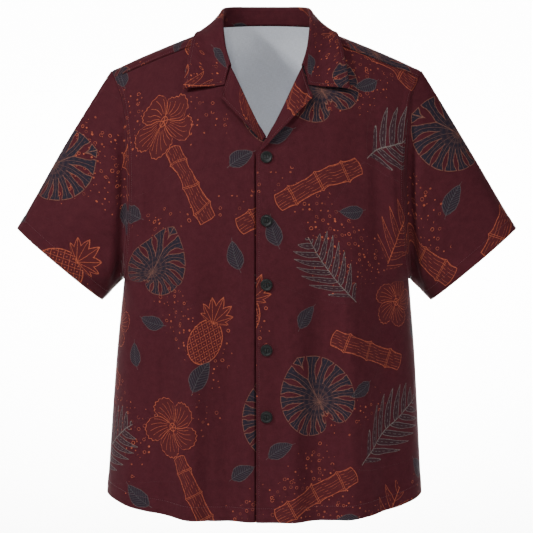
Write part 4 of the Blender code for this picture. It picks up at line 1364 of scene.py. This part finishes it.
def make_collar():
    half = [station(k / COLLAR_STEPS) for k in range(COLLAR_STEPS + 1)]
    shares = [k / STAND_STEPS - 1.0 for k in range(STAND_STEPS)]
    shares += [k / FOLD_STEPS for k in range(FOLD_STEPS)]
    shares += [1.0 + k / LEAF_STEPS for k in range(LEAF_STEPS + 1)]
    right = [[collar_section(place, share) for share in shares] for place in half]
    places = [-place for place in reversed(half[1:])] + half
    points = [[Vector((-p.x, p.y, p.z)) for p in column] for column in reversed(right[1:])]
    points += right
    inside = Vector((0.0, 0.0, STAND_END_Z))
    laid, normals = out_of_grid(points, inside)
    # distances to the leaf's edge and to the ends, for the stitching and the print
    down, across = run_along(laid, 1), run_along(laid, 0)
    near = np.minimum(down[:, -1:] - down, np.minimum(across, across[-1:] - across))
    lift = -pressed_edge(near, COLLAR_STITCH, *COLLAR_PRESS)
    for i, place in enumerate(places):
        for j, share in enumerate(shares):
            leaf = share - 1.0
            if leaf <= 0.0:
                lift[i, j] = min(lift[i, j], 0.0) * (0.0 if share < 0.5 else 1.0)
                continue
            for middle, level, reach, tall, turn, height in COLLAR_FOLDS:
                if place < 0.0:
                    middle, height = -middle * 0.93 - 0.02, height * 0.8
                a = (place - middle - turn * (leaf - level) * 0.2) / reach
                b = (leaf - level) / tall
                lift[i, j] += height * math.exp(-a * a - b * b) * smooth(leaf * 4.0) * smooth(
                    (1.0 - leaf) * 5.0 + 0.3)
            lift[i, j] += 0.35 * noise.noise(Vector((place * 9.0, leaf * 2.5, 11.0)))
    laid = laid + normals * lift[:, :, None]
    points = [[Vector(p) for p in column] for column in laid]
    middle = across[len(half) - 1]
    chart = [[(COLLAR_CORNER[0] + across[i, j] - middle[j], COLLAR_CORNER[1] - down[i, j])
              for j in range(len(shares))] for i in range(len(points))]
    return cloth_shell("collar", points, chart, inside, wall=COLLAR_CLOTH), near


collar, collar_near = make_collar()


# ---- Lapels ------------------------------------------------------------------------------
# The fronts' facings, one layer of the printed cotton that turns round each front's edge
# above the closing and lies open on it. The wearer's left one ends over the right one.

LAPEL_POINT = Vector((69.1, -110.8))        # x and z, as the four below
UPPER_LAPEL_FOOT = Vector((-8.5, -187.0))
UNDER_LAPEL_FOOT = Vector((7.0, -171.5))
LAPEL_TOP = Vector((GORGE[0], GORGE[1] - 1.2))
LAPEL_NOTCH = Vector((NOTCH[0], NOTCH[1] - 1.1))
LAPEL_NOTCH_SHARE = 0.55
LAPEL_PUFF = 2.0            # it stands this much off the front beside the roll
LAPEL_FOOT_RISE = 5.5
LAPEL_STAND = 9.0           # and this much off the front along its outer edge
FACING_TAIL = 9.0           # the facing runs on this far behind the front's edge
FACING_DEPTH = 2.0          # and its printed side lies this far inside the front's outer side
TAIL_STEPS = 3
ROLL_STEPS = 8
LAPEL_STEPS = 26
LAPEL_ROWS = 64
LAPEL_STITCH = 4.5
LAPEL_PRESS = (1.2, 1.0, 0.35, 0.9)


def behind_lapel(side):
    """A point far enough behind a lapel to say which side of it is out."""
    return Vector((side * 40.0, 300.0, -120.0))


def make_lapel(name, side, foot, dips, corner):
    first = TAIL_STEPS + ROLL_STEPS
    count = first + LAPEL_STEPS
    bend = LAPEL_NOTCH - LAPEL_TOP.lerp(LAPEL_POINT, LAPEL_NOTCH_SHARE)
    points = [[] for _ in range(count + 1)]
    for j in range(LAPEL_ROWS + 1):
        down = j / LAPEL_ROWS
        z = lerp(LAPEL_TOP.y, foot.y + LAPEL_FOOT_RISE, down)
        inner = Vector((curve_at([(EDGE_TOP_Z, -UPPER_EDGE_X)] + ROLL, z), z))
        outer = LAPEL_POINT.lerp(foot, down)
        open_here = smooth((z - V_BOTTOM_Z) / 24.0)
        radius = lerp(0.5, ROLL_RADIUS, open_here)
        ahead = (outer - inner).normalized()
        start = inner + ahead * (radius * open_here - 0.6 * (1.0 - open_here))
        puff = LAPEL_PUFF * smooth(3.0 * (1.0 - down))
        top = LAY_GAP + CAD_CLOTH + puff
        for i in range(count + 1):
            on_leaf = i - first
            if i < TAIL_STEPS:
                flat = start + ahead * FACING_TAIL * (1.0 - i / TAIL_STEPS)
                lift = -FACING_DEPTH
            elif on_leaf < 0:
                turn = (i - TAIL_STEPS) / ROLL_STEPS * math.pi
                flat = start - ahead * radius * math.sin(turn)
                lift = (top - FACING_DEPTH) / 2.0 - (top + FACING_DEPTH) / 2.0 * math.cos(turn)
            else:
                # the top edge turns at the notch, and the rows below it follow ever less
                out = on_leaf / LAPEL_STEPS
                tent = min(out / LAPEL_NOTCH_SHARE, (1.0 - out) / (1.0 - LAPEL_NOTCH_SHARE))
                flat = start.lerp(outer, out) + bend * tent * (1.0 - smooth(down * 2.0))
                lift = LAY_GAP + CAD_CLOTH + puff * (1.0 - out)
                lift += LAPEL_STAND * out * smooth(4.0 * (1.0 - down)) * max(
                    smooth(down * 6.0), smooth((out - LAPEL_NOTCH_SHARE) / 0.35))
                lift += 0.3 * noise.noise(Vector((flat.x / 16.0, flat.y / 22.0, side * 7.0)))
            lift -= under_dip(flat.x, flat.y) if dips else 0.0
            laid = panel_point(flat.x, flat.y, lift)
            points[i].append(Vector((side * laid.x, laid.y, laid.z)))
    laid, normals = out_of_grid(points, behind_lapel(side))
    across, along = run_along(laid, 0), run_along(laid, 1)
    near = np.minimum(across[-1:] - across, along)
    lift = -pressed_edge(near, LAPEL_STITCH, *LAPEL_PRESS)
    lift[:first] = 0.0
    laid = laid + normals * lift[:, :, None]
    points = [[Vector(p) for p in column] for column in laid]
    chart = [[(corner[0] + side * across[i, j], corner[1] - along[i, j])
              for j in range(LAPEL_ROWS + 1)] for i in range(count + 1)]
    return cloth_shell(name, points, chart, behind_lapel(side)), near


lapel_right, near_right = make_lapel("lapel_right", -1.0, UNDER_LAPEL_FOOT, True,
                                     (215.0, 120.0))
lapel_left, near_left = make_lapel("lapel_left", 1.0, UPPER_LAPEL_FOOT, False, (18.0, 262.0))


# ---- Stitching ---------------------------------------------------------------------------
# Lock stitches in a matching polyester thread, about three to the centimetre. They hold the
# hems' turnings, the turned edges of the closing, collar and lapels, and the seams' turnings.

STITCH_PITCH = 3.1
STITCH_LENGTH = 2.5
STITCH_THICK = 0.42
STITCH_BED = 0.12           # how deep a stitch lies in the cloth


def thread(name, dark, light, roughness):
    """A twisted polyester thread."""
    made, tree, shader = new_material(name)
    place = wired(tree, "TexCoord").other("Object")
    twist = wired(tree, "TexWave", {"Vector": place, "Scale": 900.0, "Distortion": 1.5})
    feed(shader, {"Base Color": mixed(clouds(place, 60.0, flat=False), dark, light),
                  "Normal": bumped(twist.other("Fac"), 0.3, 0.0001), "Roughness": roughness})
    return made


burgundy_thread = thread("burgundy_thread", srgb(58, 22, 27), srgb(76, 32, 37), 0.6)


def sewn_rows(name, runs):
    """Stitches on a piece along runs of points, each a list of (point, outward direction)."""
    bm = bmesh.new()
    for run in runs:
        laid, outs = (np.array([tuple(pair[k]) for pair in run]) for k in (0, 1))
        lengths = np.linalg.norm(np.diff(laid, axis=0), axis=1)
        along = np.concatenate([[0.0], np.cumsum(lengths)])
        count = int(along[-1] / STITCH_PITCH)
        for k in range(count):
            middle = (k + 0.5) * along[-1] / count
            start, centre, end = (
                Vector([np.interp(middle + shift, along, laid[:, axis]) for axis in range(3)])
                for shift in (-STITCH_LENGTH / 2.0, 0.0, STITCH_LENGTH / 2.0))
            out = Vector([np.interp(middle, along, outs[:, axis])
                          for axis in range(3)]).normalized()
            ahead = (end - start).normalized()
            across = out.cross(ahead).normalized()
            seat = Matrix((ahead * STITCH_LENGTH / 2.0, across * STITCH_THICK / 2.0,
                           ahead.cross(across) * STITCH_THICK / 2.0)).transposed().to_4x4()
            seat = Matrix.Translation(centre + out * (STITCH_THICK / 2.0 - STITCH_BED)) @ seat
            bmesh.ops.create_icosphere(bm, subdivisions=1, radius=1.0,
                                       matrix=Matrix.Scale(MM, 4) @ seat)
    bmesh.ops.recalc_face_normals(bm, faces=bm.faces)
    made = made_up(bm, name + "_stitches", burgundy_thread)
    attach(made, "root")
    name + "_cloth"
    return made


def run_on(name, cells, inside=INSIDE):
    """A run of points and outward directions over chosen cells of a piece's grid."""
    laid, normals = out_of_grid(grids[name], inside)
    return [(laid[cell], normals[cell]) for cell in cells]


def run_inside(name, near, distance, inside, lines):
    """A run through the place on each line of cells that lies so far from the nearest edge."""
    laid, normals = out_of_grid(grids[name], inside)
    run = []
    for cells in lines:
        for a, b in zip(cells, cells[1:]):
            if near[a] < distance <= near[b]:
                t = (distance - near[a]) / (near[b] - near[a])
                run.append((lerp(laid[a], laid[b], t), normals[a]))
                break
    return run


body_rows = len(body_levels())
# the body's hems, armholes, the upper front's edge and the back's seam over the fronts
for name, beside_armhole in (("front_right", (-6,)), ("front_left", (-6,)), ("back", (6, -7))):
    columns, rows = len(grids[name]), len(grids[name][0])
    runs = [[(i, HEM_STOPS.index(21.8)) for i in range(columns)]]
    runs += [[(i, j) for j in range(body_rows, rows - 1)] for i in beside_armhole]
    if name == "front_left":
        top = min(j for j in range(rows) if grids[name][4][j].z > EDGE_TOP_Z)
        runs.append([(4, j) for j in range(top)])
    if name == "back":
        half = columns // 2
        runs += [[(i, rows - 3) for i in range(first, last)]
                 for first, last in ((2, half - 1), (half + 1, columns - 2))]
    sewn_rows(name, [run_on(name, cells) for cells in runs])
for name, side in (("sleeve_right", -1.0), ("sleeve_left", 1.0)):
    cells = [(i, SLEEVE_STOPS.index(18.0)) for i in range(len(grids[name]))]
    inside = Vector((side * 300.0, SLEEVE_Y, -330.0))
    sewn_rows(name, [run_on(name, cells, inside)])
# the collar and the lapels, inside their free edges
columns, rows = collar_near.shape
leaf_row = rows - LEAF_STEPS
ways_in = [[(i, j) for i in range(30)] for j in range(leaf_row, rows)]
ways_in += [[(i, j) for j in range(rows - 1, leaf_row, -1)] for i in range(columns)]
ways_in += [[(i, j) for i in range(columns - 1, columns - 31, -1)]
            for j in range(rows - 1, leaf_row, -1)]
sewn_rows("collar", [
    run_inside("collar", collar_near, COLLAR_STITCH, Vector((0.0, 0.0, STAND_END_Z)), ways_in)])
for name, side, near in (("lapel_right", -1.0, near_right), ("lapel_left", 1.0, near_left)):
    columns, rows = near.shape
    first = TAIL_STEPS + ROLL_STEPS
    ways_in = [[(i, j) for j in range(rows // 2)] for i in range(first, columns)]
    ways_in += [[(i, j) for i in range(columns - 1, first, -1)] for j in range(rows - 14)]
    sewn_rows(name, [
        run_inside(name, near, LAPEL_STITCH, behind_lapel(side), ways_in)])


# ---- Buttons -----------------------------------------------------------------------------
# Five sew-through buttons of dark polyester resin with a raised rim and four holes, turned
# and drilled. They are sewn to the under front and stand on the upper one, in buttonholes.

BUTTON_Z = [-195.5, -288.5, -383.0, -480.5, -580.5]
BUTTON_LIFT = 0.4
BUTTON_HOLE = 1.0           # radius
BUTTON_HOLE_SPACING = 3.9
DRILL_LENGTH = 9.0
BUTTON_OUTLINE = [  # radius, height
    (0.0, 1.95), (3.6, 2.0), (5.4, 2.15), (6.1, 2.45), (6.6, 2.85), (7.2, 3.0), (7.9, 2.95),
    (8.5, 2.6), (8.85, 2.0), (8.9, 1.4), (8.6, 0.8), (7.6, 0.3), (5.5, 0.05), (0.0, 0.0),
]
BUTTON_TURNS = [4.0, -3.0, 2.0, -5.0, 3.0]     # degrees that each is turned in its seat
BAR_Z = 1.95                # the bars of thread lie at this height, two side by side
BAR_APART = 0.28
BAR_HALF = Vector((0.30, 2.5, 0.62))


def button_resin():
    """Near-black resin with faint green-grey clouds, polished but handled."""
    made, tree, shader = new_material("button_resin")
    place = wired(tree, "TexCoord").other("Object")
    patches = clouds(place, 240.0, 3.0, flat=False, Distortion=1.6)
    feed(shader, {
        "Base Color": mixed(ranged(patches, 0.35, 0.7, 0.0, 1.0), srgb(5, 6, 6),
                            srgb(17, 20, 19)),
        "Roughness": ranged(patches, 0.2, 0.8, 0.36, 0.52),
        "Normal": bumped(clouds(place, 900.0, flat=False), 0.12, 0.0001),
        "Specular IOR Level": 0.22,
    })
    return made


def body_front(z):
    """The upper front's outer face on the centre line, at a height."""
    if z > ARMPIT_Z:
        return panel_point(0.0, z, 0.0)
    return form_point(0.0, (z - HEM_Z) / (ARMPIT_Z - HEM_Z), -1)


def drilled_button():
    """The button's mesh at the origin, its back on z = 0, with its holes cut through."""
    bm = bmesh.new()
    outline = [bm.verts.new((x * MM, 0.0, z * MM)) for x, z in BUTTON_OUTLINE]
    edges = [bm.edges.new(pair) for pair in zip(outline, outline[1:])]
    bmesh.ops.spin(bm, geom=outline + edges, cent=(0.0, 0.0, 0.0), axis=(0.0, 0.0, 1.0),
                   angle=math.tau, steps=64, use_merge=True)
    bmesh.ops.remove_doubles(bm, verts=bm.verts, dist=0.000001)
    bmesh.ops.recalc_face_normals(bm, faces=bm.faces)
    turned = made_up(bm, "button_turned")
    bm = bmesh.new()
    half = BUTTON_HOLE_SPACING / 2.0 * MM
    for x, y in ((half, half), (-half, half), (-half, -half), (half, -half)):
        bmesh.ops.create_cone(
            bm, cap_ends=True, segments=20, radius1=BUTTON_HOLE * MM, radius2=BUTTON_HOLE * MM,
            depth=DRILL_LENGTH * MM, matrix=Matrix.Translation((x, y, 0.0)))
    drill = made_up(bm, "button_drill")
    cut = turned.modifiers.new("Holes", "BOOLEAN")
    cut.operation = "DIFFERENCE"
    cut.object = drill
    bpy.context.view_layer.update()
    made = bpy.data.meshes.new_from_object(
        turned.evaluated_get(bpy.context.evaluated_depsgraph_get()))
    bpy.data.objects.remove(turned)
    bpy.data.objects.remove(drill)
    made.materials.clear()
    made.materials.append(resin)
    made.shade_smooth()
    made.set_sharp_from_angle(angle=math.radians(40.0))
    return made


resin = button_resin()
button_thread = thread("button_thread", srgb(26, 24, 26), srgb(44, 40, 42), 0.55)
blank = drilled_button()
for k, z in enumerate(BUTTON_Z):
    upper, lower = body_front(z + BUTTON_HOLE_SPACING), body_front(z - BUTTON_HOLE_SPACING)
    lean = math.atan2(upper.y - lower.y, upper.z - lower.z)
    seat = (Matrix.Translation((body_front(z) + Vector((0.0, -BUTTON_LIFT, 0.0))) * MM)
            @ Matrix.Rotation(math.pi / 2.0 - lean, 4, "X")
            @ Matrix.Rotation(math.radians(BUTTON_TURNS[k]), 4, "Z"))
    mesh = blank.copy()
    mesh.transform(seat)
    button = shown(f"shirt_button_{k + 1}", mesh)
    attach(button, "root")
    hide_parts(f"button_{k + 1}")
    # two bars of thread from hole to hole, sunk into the holes at both ends
    bm = bmesh.new()
    for x in (-BUTTON_HOLE_SPACING / 2.0, BUTTON_HOLE_SPACING / 2.0):
        for shift in (-BAR_APART, BAR_APART):
            bmesh.ops.create_icosphere(
                bm, subdivisions=2, radius=1.0,
                matrix=Matrix.Translation(Vector((x + shift, 0.0, BAR_Z)) * MM)
                @ Matrix.Diagonal((*(BAR_HALF * MM), 1.0)))
    bmesh.ops.transform(bm, matrix=seat, verts=bm.verts)
    bmesh.ops.recalc_face_normals(bm, faces=bm.faces)
    bars = made_up(bm, f"button_thread_{k + 1}", button_thread)
    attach(bars, "root")
bpy.data.meshes.remove(blank)
